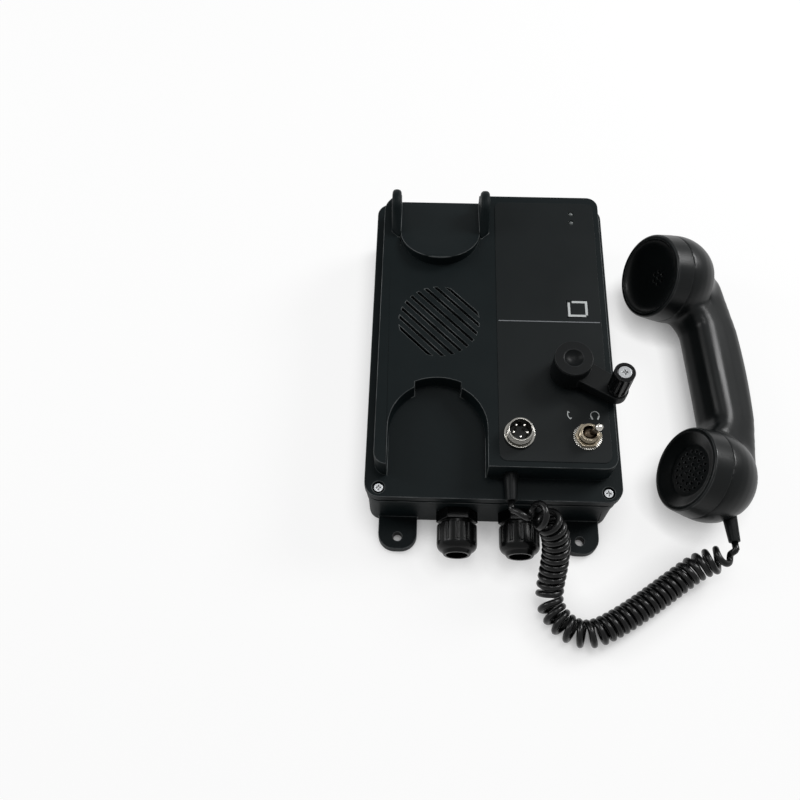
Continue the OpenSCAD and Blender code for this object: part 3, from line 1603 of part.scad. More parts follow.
// Screw cap: outer wall from rim to seam, and a face given by its front line from middle to rim
module screw_cap(rim_r, face, rings) {
    skirt_r = rim_r - cap_t;
    under = [for (i = [len(face) - 1:-1:0]) [min(face[i].x, skirt_r - rim_bevel), face[i].y - cap_t]];
    difference() {
        rotate_extrude() polygon(concat(
            face,
            [[rim_r - rim_bevel, 0], [rim_r, -rim_bevel], [rim_r + cap_flare, -cap_h], [skirt_r, -cap_h],
             [skirt_r, collar_h - cap_h + collar_gap]],
            under));
        hole_rings(rings);
    }
}

module ear_cap() {
    bowl_r = ear_rim_r - rim_lip;
    face = [for (i = [0:bowl_steps]) let (a = 90 * i / bowl_steps) [bowl_r * sin(a), -bowl_depth * cos(a)]];
    color(gloss_black) in_ear() screw_cap(ear_rim_r, face, ear_hole_rings);
}

module mouth_cap() {
    face = [[0, -disc_depth], [disc_r, -disc_depth], [disc_r + disc_step_w, disc_step_h - disc_depth],
        [mouth_rim_r - rim_lip, 0]];
    color(gloss_black) in_mouth() screw_cap(mouth_rim_r, face, mouth_hole_rings);
}

module capsule(rim_r) {
    color(steel) translate([0, 0, -cavity_z]) {
        cylinder(r = cavity_r(rim_r) - side_gap, h = capsule_step);
        cylinder(r = cavity_r(rim_r) - capsule_inset, h = capsule_h);
    }
}

module receiver_capsule() { in_ear() capsule(ear_rim_r); }

module transmitter_capsule() { in_mouth() capsule(mouth_rim_r); }

// Cord boots and curly cord

module base_cord_boot() {
    color(gloss_black) translate([boot_x, raised_front, boot_z]) rotate([90, 0, 0]) {
        cylinder(d1 = boot_d, d2 = boot_end_d, h = base_boot_l);
        translate([0, 0, -wall]) cylinder(d = boot_neck_d, h = wall + over);
        translate([0, 0, -wall - boot_flange_t]) cylinder(d = boot_flange_d, h = boot_flange_t);
    }
}

module handset_cord_boot() {
    color(gloss_black) in_handset() hand_boot_axis() {
        cylinder(d = boot_d, h = boot_root_l);
        translate([0, 0, boot_root_l]) cylinder(d1 = boot_d, d2 = boot_end_d, h = hand_boot_l);
    }
}

function unit(v) = v / norm(v);

// Direction across t that stays closest to n
function carry(n, t) = unit(n - (n * t) * t);

function spline(a, b, c, d, t) =
    0.5 * (2 * b + (c - a) * t + (2 * a - 5 * b + 4 * c - d) * t * t
        + (3 * b - 3 * c + d - a) * t * t * t);

function directions(p) =
    [for (i = [0:len(p) - 1]) unit(p[min(i + 1, len(p) - 1)] - p[max(i - 1, 0)])];

function carried(t) =
    [for (i = 0, n = carry([0, 0, 1], t[0]); i < len(t);
        i = i + 1, n = i < len(t) ? carry(n, t[i]) : n) n];

function lengths(p) =
    [for (i = 0, s = 0; i < len(p); i = i + 1, s = i < len(p) ? s + norm(p[i] - p[i - 1]) : s) s];

route_ends = concat([boot_tip], route, [hand_tip]);
axis_points = concat(
    [for (k = [1:len(route) - 1], j = [0:route_steps - 1])
        spline(route_ends[k - 1], route_ends[k], route_ends[k + 1], route_ends[k + 2], j / route_steps)],
    [route[len(route) - 1]]);
axis_s = lengths(axis_points);
axis_t = directions(axis_points);
axis_n = carried(axis_t);

// Line measured on the inner side of its bends, so that the curls stay evenly apart there
function bend(i) = i == 0 || i == len(axis_t) - 1 ? 0
    : norm(axis_t[i + 1] - axis_t[i - 1]) / (axis_s[i + 1] - axis_s[i - 1]);
inner_s = [for (i = 0, u = 0; i < len(axis_s); i = i + 1,
    u = i < len(axis_s) ? u + (axis_s[i] - axis_s[i - 1]) * max(least_inner, 1 - curl_r * bend(i)) : u) u];
inner_l = inner_s[len(inner_s) - 1];
inner_table = [for (i = [0:len(inner_s) - 1]) [inner_s[i], axis_s[i]]];

function along(values, s, c) = lookup(s, [for (i = [0:len(axis_s) - 1]) [axis_s[i], values[i][c]]]);

function axis_at(values, s) = [along(values, s, 0), along(values, s, 1), along(values, s, 2)];

curl_rings = curl_count * rings_per_curl;

// Each ring steps along the line, with longer steps where the curls begin and end
function from_end(k, rings) = max(0, 1 - min(k, curl_rings - k) / rings);

function ring_step(k) =
    1 + loose_stretch * from_end(k, loose_rings) + start_stretch * from_end(k, start_rings);
ring_sum = lengths([for (k = 0, s = 0; k <= curl_rings; k = k + 1, s = s + ring_step(k)) [s, 0]]);

function ease(t) = t * t * (3 - 2 * t);

function curl_point(k) =
    let (
        s = lookup(inner_l * ring_sum[k] / ring_sum[curl_rings], inner_table),
        t = unit(axis_at(axis_t, s)),
        n = carry(axis_at(axis_n, s), t),
        r = curl_r * ease(min(1, min(k, curl_rings - k) / ramp_rings)),
        a = 360 * k / rings_per_curl)
    axis_at(axis_points, s) + r * (cos(a) * n + sin(a) * cross(t, n));

cord_line = concat([boot_tip], [for (k = [0:curl_rings]) curl_point(k)], [hand_tip]);

function least_gap(p, apart) =
    min([for (i = [0:len(p) - 1 - apart], j = [i + apart:len(p) - 1]) norm(p[i] - p[j])]) - cord_d;

module curly_cord() {
    t = directions(cord_line);
    n = carried(t);
    points = [for (k = [0:len(cord_line) - 1], i = [0:cord_sides - 1])
        let (a = 360 * i / cord_sides)
        cord_line[k] + cord_d / 2 * (cos(a) * n[k] + sin(a) * cross(t[k], n[k]))];
    echo(least_gap_in_curly_cord = least_gap(cord_line, rings_per_curl - 2),
        lowest = min([for (p = points) p.z]));
    color(gloss_black) polyhedron(points, skin_faces(len(cord_line), cord_sides));
}

base_housing();
cover_gasket();
front_cover();
cover_screws();
panel_overlay();
call_key();
upper_led();
lower_led();
crank_arm();
hub_cap();
crank_knob();
knob_pin();
crank_bush();
crank_shaft();
crank_screw();
drive_gear();
rotor_pinion();
rotor_magnet();
stator_can();
stator_coil();
generator_frame();
generator_screws();
circuit_board();
board_screws();
call_switch();
line_transformer();
speaker_frame();
speaker_cone();
speaker_magnet();
grille_cloth();
socket_shell();
socket_insert();
socket_pins();
socket_nut();
toggle_body();
toggle_bushing();
toggle_washer();
toggle_nut();
toggle_lever();
left_gland_body();
left_gland_nut();
left_gland_seal();
left_gland_locknut();
right_gland_body();
right_gland_nut();
right_gland_seal();
right_gland_locknut();
terminal_block();
terminal_screws();
base_cord_boot();
curly_cord();
handset_cord_boot();
handset_shell();
ear_cap();
mouth_cap();
receiver_capsule();
transmitter_capsule();
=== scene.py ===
import math

import bmesh
import bpy
from mathutils import Matrix, Vector


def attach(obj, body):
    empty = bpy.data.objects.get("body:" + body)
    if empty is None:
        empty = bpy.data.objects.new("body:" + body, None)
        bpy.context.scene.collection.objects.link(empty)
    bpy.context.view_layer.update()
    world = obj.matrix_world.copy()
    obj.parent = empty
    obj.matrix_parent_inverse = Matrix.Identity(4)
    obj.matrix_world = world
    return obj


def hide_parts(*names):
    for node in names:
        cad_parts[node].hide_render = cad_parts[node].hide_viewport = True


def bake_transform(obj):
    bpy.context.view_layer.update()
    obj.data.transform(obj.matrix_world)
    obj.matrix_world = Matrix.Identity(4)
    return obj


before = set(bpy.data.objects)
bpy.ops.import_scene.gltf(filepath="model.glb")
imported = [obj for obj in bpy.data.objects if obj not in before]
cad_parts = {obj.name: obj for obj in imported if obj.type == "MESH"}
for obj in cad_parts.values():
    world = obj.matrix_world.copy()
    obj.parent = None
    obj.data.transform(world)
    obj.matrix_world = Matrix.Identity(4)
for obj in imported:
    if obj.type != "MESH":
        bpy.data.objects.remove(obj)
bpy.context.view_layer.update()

# Rear housing
# The tray that screws to the wall by its lugs. It is injection moulded in black plastic with a
# fine eroded texture, and every edge leaves the mould with a small radius.

MM = 0.001
WELD = 0.002 * MM
NOISE_MEAN = 0.5


class Wire:
    """A socket of a material's node tree; sums on it add Math nodes."""

    def __init__(self, tree, socket):
        self.tree = tree
        self.socket = socket

    def plug(self, target, value):
        if isinstance(value, Wire):
            self.tree.links.new(value.socket, target)
        else:
            target.default_value = value

    def node(self, kind, settings, sockets, output=0):
        made = self.tree.nodes.new("ShaderNode" + kind)
        for name, value in settings.items():
            if name == "stops":
                for stop, (place, shade) in zip(made.color_ramp.elements, value):
                    stop.position = place
                    stop.color = (shade, shade, shade, 1)
            else:
                setattr(made, name, value)
        for key, value in sockets.items():
            self.plug(made.inputs[key], value)
        return Wire(self.tree, made.outputs[output])

    def sum(self, operation, first, second):
        return self.node("Math", {"operation": operation}, {0: first, 1: second})

    def __add__(self, other):
        return self.sum("ADD", self, other)

    def __radd__(self, other):
        return self.sum("ADD", other, self)

    def __sub__(self, other):
        return self.sum("SUBTRACT", self, other)

    def __rsub__(self, other):
        return self.sum("SUBTRACT", other, self)

    def __mul__(self, other):
        return self.sum("MULTIPLY", self, other)

    def __rmul__(self, other):
        return self.sum("MULTIPLY", other, self)


def start_material(name):
    """New material, its shader, and the place on the surface in metres."""
    material = bpy.data.materials.new(name)
    material.use_nodes = True
    tree = material.node_tree
    shader = tree.nodes["Principled BSDF"]
    place = Wire(tree, tree.nodes.new("ShaderNodeTexCoord").outputs["Object"])
    return material, shader, place


def noise(place, size, detail=2.0):
    """Cloudy pattern from 0 to 1 whose lumps are about that large."""
    return place.node("TexNoise", {}, {"Vector": place, "Scale": 1 / size, "Detail": detail})


def ramp(value, low, high):
    """0 below low, 1 above high."""
    return value.node("ValToRGB", {"stops": [(low, 0), (high, 1)]}, {"Fac": value})


def colour_between(factor, first, second):
    return factor.node(
        "Mix", {"data_type": "RGBA"}, {0: factor, 6: (*first, 1), 7: (*second, 1)}, output=2)


def edge_wear_and_highlight(place):
    """1 on rounded convex edges, broken up by a cloudy pattern; these edges get rubbed wear and a
    painted highlight.
    """
    patch = 14 * MM
    plain_below = 0.2
    marked_above = 0.62
    rounded = place.node("Attribute", {"attribute_name": "worn_lit_edge"}, {}, output="Fac")
    return rounded * ramp(noise(place, patch), plain_below, marked_above)


def moulded_plastic(name, colour, second_tone, roughness, grain, grain_depth, specular):
    """Black moulded plastic: eroded grain, cloudy sheen, edges a little lighter from rubbing and from a
    painted highlight.
    """
    edge_share = 0.8
    cloud_share = 0.04
    cloud_sheen = 0.12
    edge_polish = 0.15
    cloud_size = 30 * MM
    grain_detail = 3.0
    grain_strength = 0.6
    material, shader, place = start_material(name)
    cloud = noise(place, cloud_size)
    worn_lit_edge = edge_wear_and_highlight(place)
    # Edges move towards the second tone: partly rubbed wear, partly a painted highlight on the rounded
    # edges.
    place.plug(shader.inputs["Base Color"],
               colour_between(worn_lit_edge * edge_share + cloud * cloud_share, colour, second_tone))
    place.plug(shader.inputs["Roughness"],
               roughness + (cloud - NOISE_MEAN) * cloud_sheen - worn_lit_edge * edge_polish)
    grains = noise(place, grain, grain_detail)
    bump = {"Strength": grain_strength, "Distance": grain_depth, "Height": grains}
    place.plug(shader.inputs["Normal"], place.node("Bump", {}, bump))
    shader.inputs["Specular IOR Level"].default_value = specular
    return material


def piece_from(name, shape):
    """New object from a finished bmesh, shaded smooth with flat faces kept flat."""
    for face in shape.faces:
        face.smooth = True
    mesh = bpy.data.meshes.new(name)
    shape.to_mesh(mesh)
    shape.free()
    piece = bpy.data.objects.new(name, mesh)
    bpy.context.collection.objects.link(piece)
    piece.modifiers.new("face_normals", "WEIGHTED_NORMAL").keep_sharp = True
    return piece


def rounded_copy(node, name, radius, main_radius=0, main_edges=None):
    """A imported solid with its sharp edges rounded, the main edges to their own radius."""
    small_segments = 2
    main_segments = 3
    circular = 0.5
    flat = math.radians(0.4)
    sharp = math.radians(28)
    bent = math.radians(8)
    shape = bmesh.new()
    shape.from_mesh(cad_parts[node].data)
    bmesh.ops.remove_doubles(shape, verts=shape.verts, dist=WELD)
    bmesh.ops.dissolve_limit(shape, angle_limit=flat, verts=shape.verts, edges=shape.edges)
    # Faces made by rounding convex edges are marked; materials draw them lighter, partly as wear and
    # partly as a painted highlight.
    worn_lit_edge = shape.faces.layers.float.new("worn_lit_edge")

    def sharp_edges():
        return [e for e in shape.edges if len(e.link_faces) == 2 and e.calc_face_angle() > sharp]

    def round_off(edges, offset, segments):
        made = bmesh.ops.bevel(shape, geom=edges, offset=offset, segments=segments, profile=circular,
                               affect="EDGES", clamp_overlap=False, loop_slide=True)
        shape.normal_update()
        for face in made["faces"]:
            if any(e.is_convex and e.calc_face_angle(0) > bent for e in face.edges):
                face[worn_lit_edge] = 1

    if main_edges:
        main = [e for e in sharp_edges() if main_edges((e.verts[0].co + e.verts[1].co) / 2)]
        small = [e for e in sharp_edges() if e not in set(main)]
        round_off(small, radius, small_segments)
        main = [e for e in sharp_edges() if main_edges((e.verts[0].co + e.verts[1].co) / 2)]
        round_off(main, main_radius, main_segments)
    else:
        round_off(sharp_edges(), radius, small_segments)
    return piece_from(name, shape)


def dress(piece, body, slot, material, *nodes):
    """Give a piece its material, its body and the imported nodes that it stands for."""
    piece.data.materials.clear()
    piece.data.materials.append(material)
    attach(piece, body)
    if nodes:
        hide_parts(*nodes)


housing_plastic = moulded_plastic(
    "housing_plastic", colour=(0.0018, 0.0046, 0.0054), second_tone=(0.11, 0.118, 0.12), roughness=0.5,
    grain=0.35 * MM, grain_depth=0.06 * MM, specular=0.09)
rear_housing = rounded_copy("base_housing", "rear_housing", radius=0.5 * MM)
dress(rear_housing, "housing", "housing_black", housing_plastic, "base_housing")

# Cover seal
# A black rubber band that keeps damp out. It is moulded as one ring and pressed in the parting line
# between the rear housing's rim and the cover.

seal_rubber = moulded_plastic(
    "seal_rubber", colour=(0.003, 0.0031, 0.0033), second_tone=(0.008, 0.008, 0.0085), roughness=0.6,
    grain=0.6 * MM, grain_depth=0.04 * MM, specular=0.1)
seal_band = rounded_copy("cover_gasket", "seal_band", radius=0.4 * MM)
dress(seal_band, "housing", "seal_black", seal_rubber, "cover_gasket")

# Loudspeaker
# A small loudspeaker behind the grille: pressed steel basket, ferrite ring magnet, black pressed
# paper cone, and a woven cloth glued over the slots to keep dust out.

SHADE_SAMPLES = 8
# Metres between the bands of a wave texture whose scale is 1
WAVE_PERIOD = 0.314


def show_as(material, *nodes):
    """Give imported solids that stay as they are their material."""
    for node in nodes:
        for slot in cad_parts[node].material_slots:
            slot.material = material


def metal(name, colour, second_tone, roughness, streak):
    """Bare or plated metal with fine scratches, a cloudy polish and painted shade that darkens its
    recesses.
    """
    recess_shade = (0.05, 0.045, 0.04)
    shade_reach = 1.2 * MM
    shaded_below = 0.25
    unshaded_above = 0.85
    cloud_size = 3 * MM
    scratch_detail = 4.0
    scratch_sheen = 0.2
    scratch_strength = 0.25
    scratch_depth = 0.01 * MM
    material, shader, place = start_material(name)
    cloud = noise(place, cloud_size)
    scratches = noise(place, streak, scratch_detail)
    # Painted shade: ambient occlusion turns the base colour towards a dark brown in the metal's
    # recesses.
    unshaded_share = place.node(
        "AmbientOcclusion", {"samples": SHADE_SAMPLES}, {"Distance": shade_reach}, output="AO")
    polish = colour_between(cloud, colour, second_tone)
    shader.inputs["Metallic"].default_value = 1
    place.plug(shader.inputs["Base Color"], polish.node(
        "Mix", {"data_type": "RGBA"},
        {0: ramp(unshaded_share, shaded_below, unshaded_above), 6: (*recess_shade, 1), 7: polish}, output=2))
    place.plug(shader.inputs["Roughness"], roughness + (scratches - NOISE_MEAN) * scratch_sheen)
    bump = {"Strength": scratch_strength, "Distance": scratch_depth, "Height": scratches}
    place.plug(shader.inputs["Normal"], place.node("Bump", {}, bump))
    return material


def woven(name, colour, light, thread):
    """Plain cloth: two sets of threads that cross, lighter where they rise."""
    cloth_roughness = 0.9
    thread_strength = 0.8
    thread_rise = thread / 3
    material, shader, place = start_material(name)
    weave = {"Vector": place, "Scale": WAVE_PERIOD / thread}
    weft = place.node("TexWave", {"bands_direction": "X"}, weave)
    warp = place.node("TexWave", {"bands_direction": "Y"}, weave)
    raised = weft * warp
    place.plug(shader.inputs["Base Color"], colour_between(raised, colour, light))
    bump = {"Strength": thread_strength, "Distance": thread_rise, "Height": raised}
    place.plug(shader.inputs["Normal"], place.node("Bump", {}, bump))
    shader.inputs["Roughness"].default_value = cloth_roughness
    return material


steel = metal(
    "plain_steel", colour=(0.42, 0.43, 0.44), second_tone=(0.32, 0.33, 0.34), roughness=0.3, streak=0.5 * MM)
ferrite = moulded_plastic(
    "ferrite", colour=(0.07, 0.074, 0.078), second_tone=(0.12, 0.12, 0.125), roughness=0.6,
    grain=0.3 * MM, grain_depth=0.03 * MM, specular=0.4)
pressed_paper = moulded_plastic(
    "pressed_paper", colour=(0.012, 0.012, 0.012), second_tone=(0.03, 0.03, 0.03), roughness=0.85,
    grain=0.5 * MM, grain_depth=0.1 * MM, specular=0.1)
grille_weave = woven(
    "grille_weave", colour=(0.003, 0.003, 0.0032), light=(0.009, 0.009, 0.0095), thread=0.5 * MM)
show_as(steel, "speaker_frame")
show_as(ferrite, "speaker_magnet")
show_as(pressed_paper, "speaker_cone")
show_as(grille_weave, "grille_cloth")

# Calling generator and call circuit
# The hand generator in its steel frame, with brass gears, a wound stator and a magnet rotor, and the
# small circuit board that carries the call switch and the line transformer.


def wound_wire(name, colour, dark, wire):
    """Enamelled wire laid turn by turn around the vertical."""
    metal_share = 0.8
    least_roughness = 0.28
    lacquer_size = 2 * MM
    lacquer_sheen = 0.15
    wire_strength = 0.9
    wire_rise = wire / 2
    material, shader, place = start_material(name)
    turns = place.node(
        "TexWave", {"bands_direction": "Z"}, {"Vector": place, "Scale": WAVE_PERIOD / wire})
    shader.inputs["Metallic"].default_value = metal_share
    place.plug(shader.inputs["Base Color"], colour_between(turns, dark, colour))
    place.plug(shader.inputs["Roughness"],
               least_roughness + noise(place, lacquer_size) * lacquer_sheen)
    bump = {"Strength": wire_strength, "Distance": wire_rise, "Height": turns}
    place.plug(shader.inputs["Normal"], place.node("Bump", {}, bump))
    return material


brass = metal(
    "machined_brass", colour=(0.62, 0.46, 0.2), second_tone=(0.5, 0.36, 0.15), roughness=0.3, streak=0.4 * MM)
coil_copper = wound_wire(
    "coil_copper", colour=(0.55, 0.25, 0.11), dark=(0.2, 0.07, 0.03), wire=0.4 * MM)
board_lacquer = moulded_plastic(
    "board_lacquer", colour=(0.02, 0.13, 0.05), second_tone=(0.05, 0.2, 0.09), roughness=0.35,
    grain=0.8 * MM, grain_depth=0.02 * MM, specular=0.5)
varnished_core = moulded_plastic(
    "varnished_core", colour=(0.17, 0.12, 0.055), second_tone=(0.26, 0.2, 0.1), roughness=0.4,
    grain=0.5 * MM, grain_depth=0.04 * MM, specular=0.5)
insert_plastic = moulded_plastic(
    "insert_plastic", colour=(0.003, 0.003, 0.0033), second_tone=(0.008, 0.008, 0.008), roughness=0.5,
    grain=0.4 * MM, grain_depth=0.02 * MM, specular=0.3)
show_as(brass, "crank_bush", "drive_gear", "rotor_pinion")
show_as(steel, "crank_shaft", "crank_screw", "generator_frame", "generator_screws", "stator_can",
        "board_screws")
show_as(ferrite, "rotor_magnet")
show_as(coil_copper, "stator_coil")
show_as(board_lacquer, "circuit_board")
show_as(varnished_core, "line_transformer")
show_as(insert_plastic, "call_switch", "toggle_body")

# Front cover
# The moulded cover with its flange, raised face, ear-cap seat, mouth pocket and grille. It is hooked
# in at the top and held by two screws in the front flange.

lip_low = 77.5 * MM
lip_high_y = 68 * MM


def seat_lip(place):
    """Rim of the ear-cap seat between the ears."""
    return place.z > lip_low and place.y < lip_high_y


front_cover = rounded_copy(
    "front_cover", "cover_moulding", radius=0.4 * MM, main_radius=0.9 * MM, main_edges=seat_lip)
dress(front_cover, "housing", "housing_black", housing_plastic, "front_cover")

# Cover screws
# Two plain steel cross-head screws that hold the cover's front edge down. Their heads are sunk in
# round recesses in the flange.

cover_screws = rounded_copy("cover_screws", "cover_screw_pair", radius=0.2 * MM)
dress(cover_screws, "housing", "steel", steel, "cover_screws")

# Panel sheet
# A smooth satin polycarbonate sheet stuck on the raised face, die cut with round corners and holes
# for the crank, the socket, the switch, the key and the lamps.

panel_film = moulded_plastic(
    "panel_film", colour=(0.0054, 0.0074, 0.0079), second_tone=(0.03, 0.034, 0.036), roughness=0.4,
    grain=0.2 * MM, grain_depth=0.015 * MM, specular=0.12)
panel_sheet = rounded_copy("panel_overlay", "panel_sheet", radius=0.12 * MM)
dress(panel_sheet, "housing", "panel_grey", panel_film, "panel_overlay")


def printed(name, outlines, top):
    """Thin raised ink on a surface at that height: outlines in mm, joined into one piece."""
    ink_t = 0.05
    ink_sink = 0.02
    shape = bmesh.new()
    for outline in outlines:
        low = [shape.verts.new((x * MM, y * MM, (top - ink_sink) * MM)) for x, y in outline]
        high = [shape.verts.new((x * MM, y * MM, (top + ink_t) * MM)) for x, y in outline]
        shape.faces.new(high)
        shape.faces.new(low[::-1])
        for i, start in enumerate(low):
            j = (i + 1) % len(low)
            shape.faces.new((start, low[j], high[j], high[i]))
    return piece_from(name, shape)


def arc_points(centre, radius, first, last, steps=16):
    """Points in mm on an arc between two angles in degrees."""
    turns = [math.radians(first + (last - first) * i / steps) for i in range(steps + 1)]
    return [(centre[0] + radius * math.cos(a), centre[1] + radius * math.sin(a)) for a in turns]


def arc_band(centre, inner, outer, first, last):
    """Outline of a curved band, counter-clockwise."""
    return arc_points(centre, outer, first, last) + arc_points(centre, inner, last, first)


def slanted_bar(start, end, width):
    """Outline of a straight bar between two points, counter-clockwise."""
    along = Vector(end) - Vector(start)
    aside = Vector((-along.y, along.x)).normalized() * width / 2
    return [tuple(Vector(p) + k * aside) for p, k in ((start, -1), (end, -1), (end, 1), (start, 1))]


panel_top = 69
white_ink = moulded_plastic(
    "white_ink", colour=(0.45, 0.47, 0.47), second_tone=(0.55, 0.57, 0.57), roughness=0.5,
    grain=0.3 * MM, grain_depth=0.01 * MM, specular=0.3)
grey_ink = moulded_plastic(
    "grey_ink", colour=(0.16, 0.17, 0.18), second_tone=(0.24, 0.25, 0.26), roughness=0.5,
    grain=0.3 * MM, grain_depth=0.01 * MM, specular=0.3)
divider_l, divider_r, divider_y, divider_w = 3.5, 71.5, 4.5, 0.6
divider = printed(
    "panel_divider", [slanted_bar((divider_l, divider_y), (divider_r, divider_y), divider_w)], panel_top)
dress(divider, "housing", "lamp_grey", grey_ink)
left_centre = (50, -64.1)
thin_inner, thin_outer = 3.5, 4.1
thick_inner, thick_outer = 2.8, 4.2
first_end, thin_from, thin_to, last_end = 148, 160, 230, 242
left_sign = printed("left_symbol", [
    arc_band(left_centre, thin_inner, thin_outer, thin_from, thin_to),
    arc_band(left_centre, thick_inner, thick_outer, first_end, thin_from),
    arc_band(left_centre, thick_inner, thick_outer, thin_to, last_end)], panel_top)
dress(left_sign, "housing", "cream", white_ink)
right_centre = (63.5, -64.5)
band_inner, band_outer = 2.5, 2.9
band_from, band_to = -12, 192
left_end = ((60.8, -64.9), (61.9, -67.4))
right_end = ((66.2, -64.9), (65.1, -67.4))
end_w = 0.9
right_sign = printed("right_symbol", [
    arc_band(right_centre, band_inner, band_outer, band_from, band_to),
    slanted_bar(*left_end, end_w), slanted_bar(*right_end, end_w)], panel_top)
dress(right_sign, "housing", "cream", white_ink)
lens_plastic = moulded_plastic(
    "lens_plastic", colour=(0.1, 0.11, 0.11), second_tone=(0.16, 0.17, 0.17), roughness=0.22,
    grain=0.6 * MM, grain_depth=0.01 * MM, specular=0.4)
for lamp in ("upper_led", "lower_led"):
    lens_dome = rounded_copy(lamp, lamp + "_lens", radius=0.5 * MM)
    dress(lens_dome, "housing", "lamp_grey", lens_plastic, lamp)

# Call key
# The sheet's domed push key, moulded in the same satin plastic, over the call switch. A white
# bracket frame, open at two corners, is printed on its border.

call_key = rounded_copy("call_key", "call_key_cap", radius=0.3 * MM)
dress(call_key, "key", "panel_grey", panel_film, "call_key")
key_top = 69.2
frame_l, frame_r, frame_low, frame_high = 50.5, 63.8, 8.6, 21
bar = 1.6
open_corner = 1.3
key_frame = printed("call_key_frame", [
    [(frame_l, frame_low), (frame_r - open_corner, frame_low), (frame_r - open_corner, frame_low + bar),
     (frame_l + bar, frame_low + bar), (frame_l + bar, frame_high - open_corner),
     (frame_l, frame_high - open_corner)],
    [(frame_r, frame_high), (frame_l + bar + open_corner, frame_high),
     (frame_l + bar + open_corner, frame_high - bar), (frame_r - bar, frame_high - bar),
     (frame_r - bar, frame_low + open_corner), (frame_r, frame_low + open_corner)]], key_top)
dress(key_frame, "key", "cream", white_ink)

# Crank
# A satin moulded arm and hub with a dished cap, held on its shaft by a screw, and a glossy fluted
# knob that turns on a steel pin.

gloss_plastic = moulded_plastic(
    "gloss_plastic", colour=(0.0026, 0.003, 0.0032), second_tone=(0.012, 0.0125, 0.013), roughness=0.24,
    grain=0.5 * MM, grain_depth=0.006 * MM, specular=0.17)
satin_plastic = moulded_plastic(
    "satin_plastic", colour=(0.0034, 0.0043, 0.0046), second_tone=(0.03, 0.032, 0.033), roughness=0.42,
    grain=0.4 * MM, grain_depth=0.02 * MM, specular=0.11)
crank_arm = rounded_copy("crank_arm", "crank_moulding", radius=0.5 * MM)
dress(crank_arm, "crank", "gloss_black", satin_plastic, "crank_arm")
hub_cap = rounded_copy("hub_cap", "crank_hub_cap", radius=0.4 * MM)
dress(hub_cap, "crank", "gloss_black", satin_plastic, "hub_cap")
crank_knob = rounded_copy("crank_knob", "crank_knob_grip", radius=0.3 * MM)
dress(crank_knob, "knob", "gloss_black", gloss_plastic, "crank_knob")
knob_pin = rounded_copy("knob_pin", "crank_knob_pin", radius=0.3 * MM)
dress(knob_pin, "crank", "steel", steel, "knob_pin")

# Panel socket
# A five-pin socket: a threaded shell and nut turned from brass and nickel plated, and a black
# moulded insert that holds the silver-plated pins.


def directions(line):
    last = len(line) - 1
    return [(line[min(i + 1, last)] - line[max(i - 1, 0)]).normalized() for i in range(len(line))]


def across(side, way):
    """Direction at right angles to way that stays closest to side."""
    return (side - side.dot(way) * way).normalized()


def carried(ways):
    """One cross direction per point, carried along the line without twist."""
    sides = [across(Vector((0, 0, 1)), ways[0])]
    for way in ways[1:]:
        sides.append(across(sides[-1], way))
    return sides


def tube(name, line, radius, sides):
    """Round tube along a line of points, closed at both ends."""
    shape = bmesh.new()
    ways = directions(line)
    rings = []
    for point, way, side in zip(line, ways, carried(ways)):
        other = way.cross(side)
        turns = [2 * math.pi * i / sides for i in range(sides)]
        rings.append([shape.verts.new(point + radius * (math.cos(a) * side + math.sin(a) * other))
                      for a in turns])
    for first, second in zip(rings, rings[1:]):
        for i in range(sides):
            j = (i + 1) % sides
            shape.faces.new((first[i], first[j], second[j], second[i]))
    shape.faces.new(rings[0][::-1])
    shape.faces.new(rings[-1])
    return piece_from(name, shape)


def screw_thread(name, centre, radius, low, high, pitch):
    """Ridge of a screw thread around a turned wall, all sizes in mm."""
    steps_per_turn = 40
    ridge_sides = 6
    ridge_share = 0.3
    ridge_r = ridge_share * pitch
    steps = round((high - low) / pitch * steps_per_turn)
    line = []
    for i in range(steps + 1):
        turn = 2 * math.pi * i / steps_per_turn
        line.append(Vector((centre[0] + radius * math.cos(turn), centre[1] + radius * math.sin(turn),
                            low + pitch * i / steps_per_turn)) * MM)
    return tube(name, line, ridge_r * MM, ridge_sides)


nickel = metal(
    "nickel_plate", colour=(0.5, 0.49, 0.46), second_tone=(0.36, 0.35, 0.32), roughness=0.12, streak=0.4 * MM)
for node in ("socket_shell", "socket_nut"):
    part = rounded_copy(node, node + "_turned", radius=0.3 * MM)
    dress(part, "housing", "nickel", nickel, node)
socket_thread = screw_thread(
    "socket_thread", centre=(15, -79.5), radius=7.95, low=72.3, high=77.3, pitch=1)
dress(socket_thread, "housing", "nickel", nickel)
socket_insert = rounded_copy("socket_insert", "socket_insert_moulding", radius=0.15 * MM)
dress(socket_insert, "housing", "insert_black", insert_plastic, "socket_insert")
silver = metal(
    "silver_plate", colour=(0.9, 0.88, 0.84), second_tone=(0.8, 0.78, 0.72), roughness=0.15, streak=0.4 * MM)
socket_pins = rounded_copy("socket_pins", "socket_pin_set", radius=0.45 * MM)
dress(socket_pins, "housing", "silver", silver, "socket_pins")

# Toggle switch
# A threaded brass bushing with a hexagon nut and a toothed washer, and a nickel lever whose neck is
# darkened towards its root by painted shade, its round end bright and smoother.


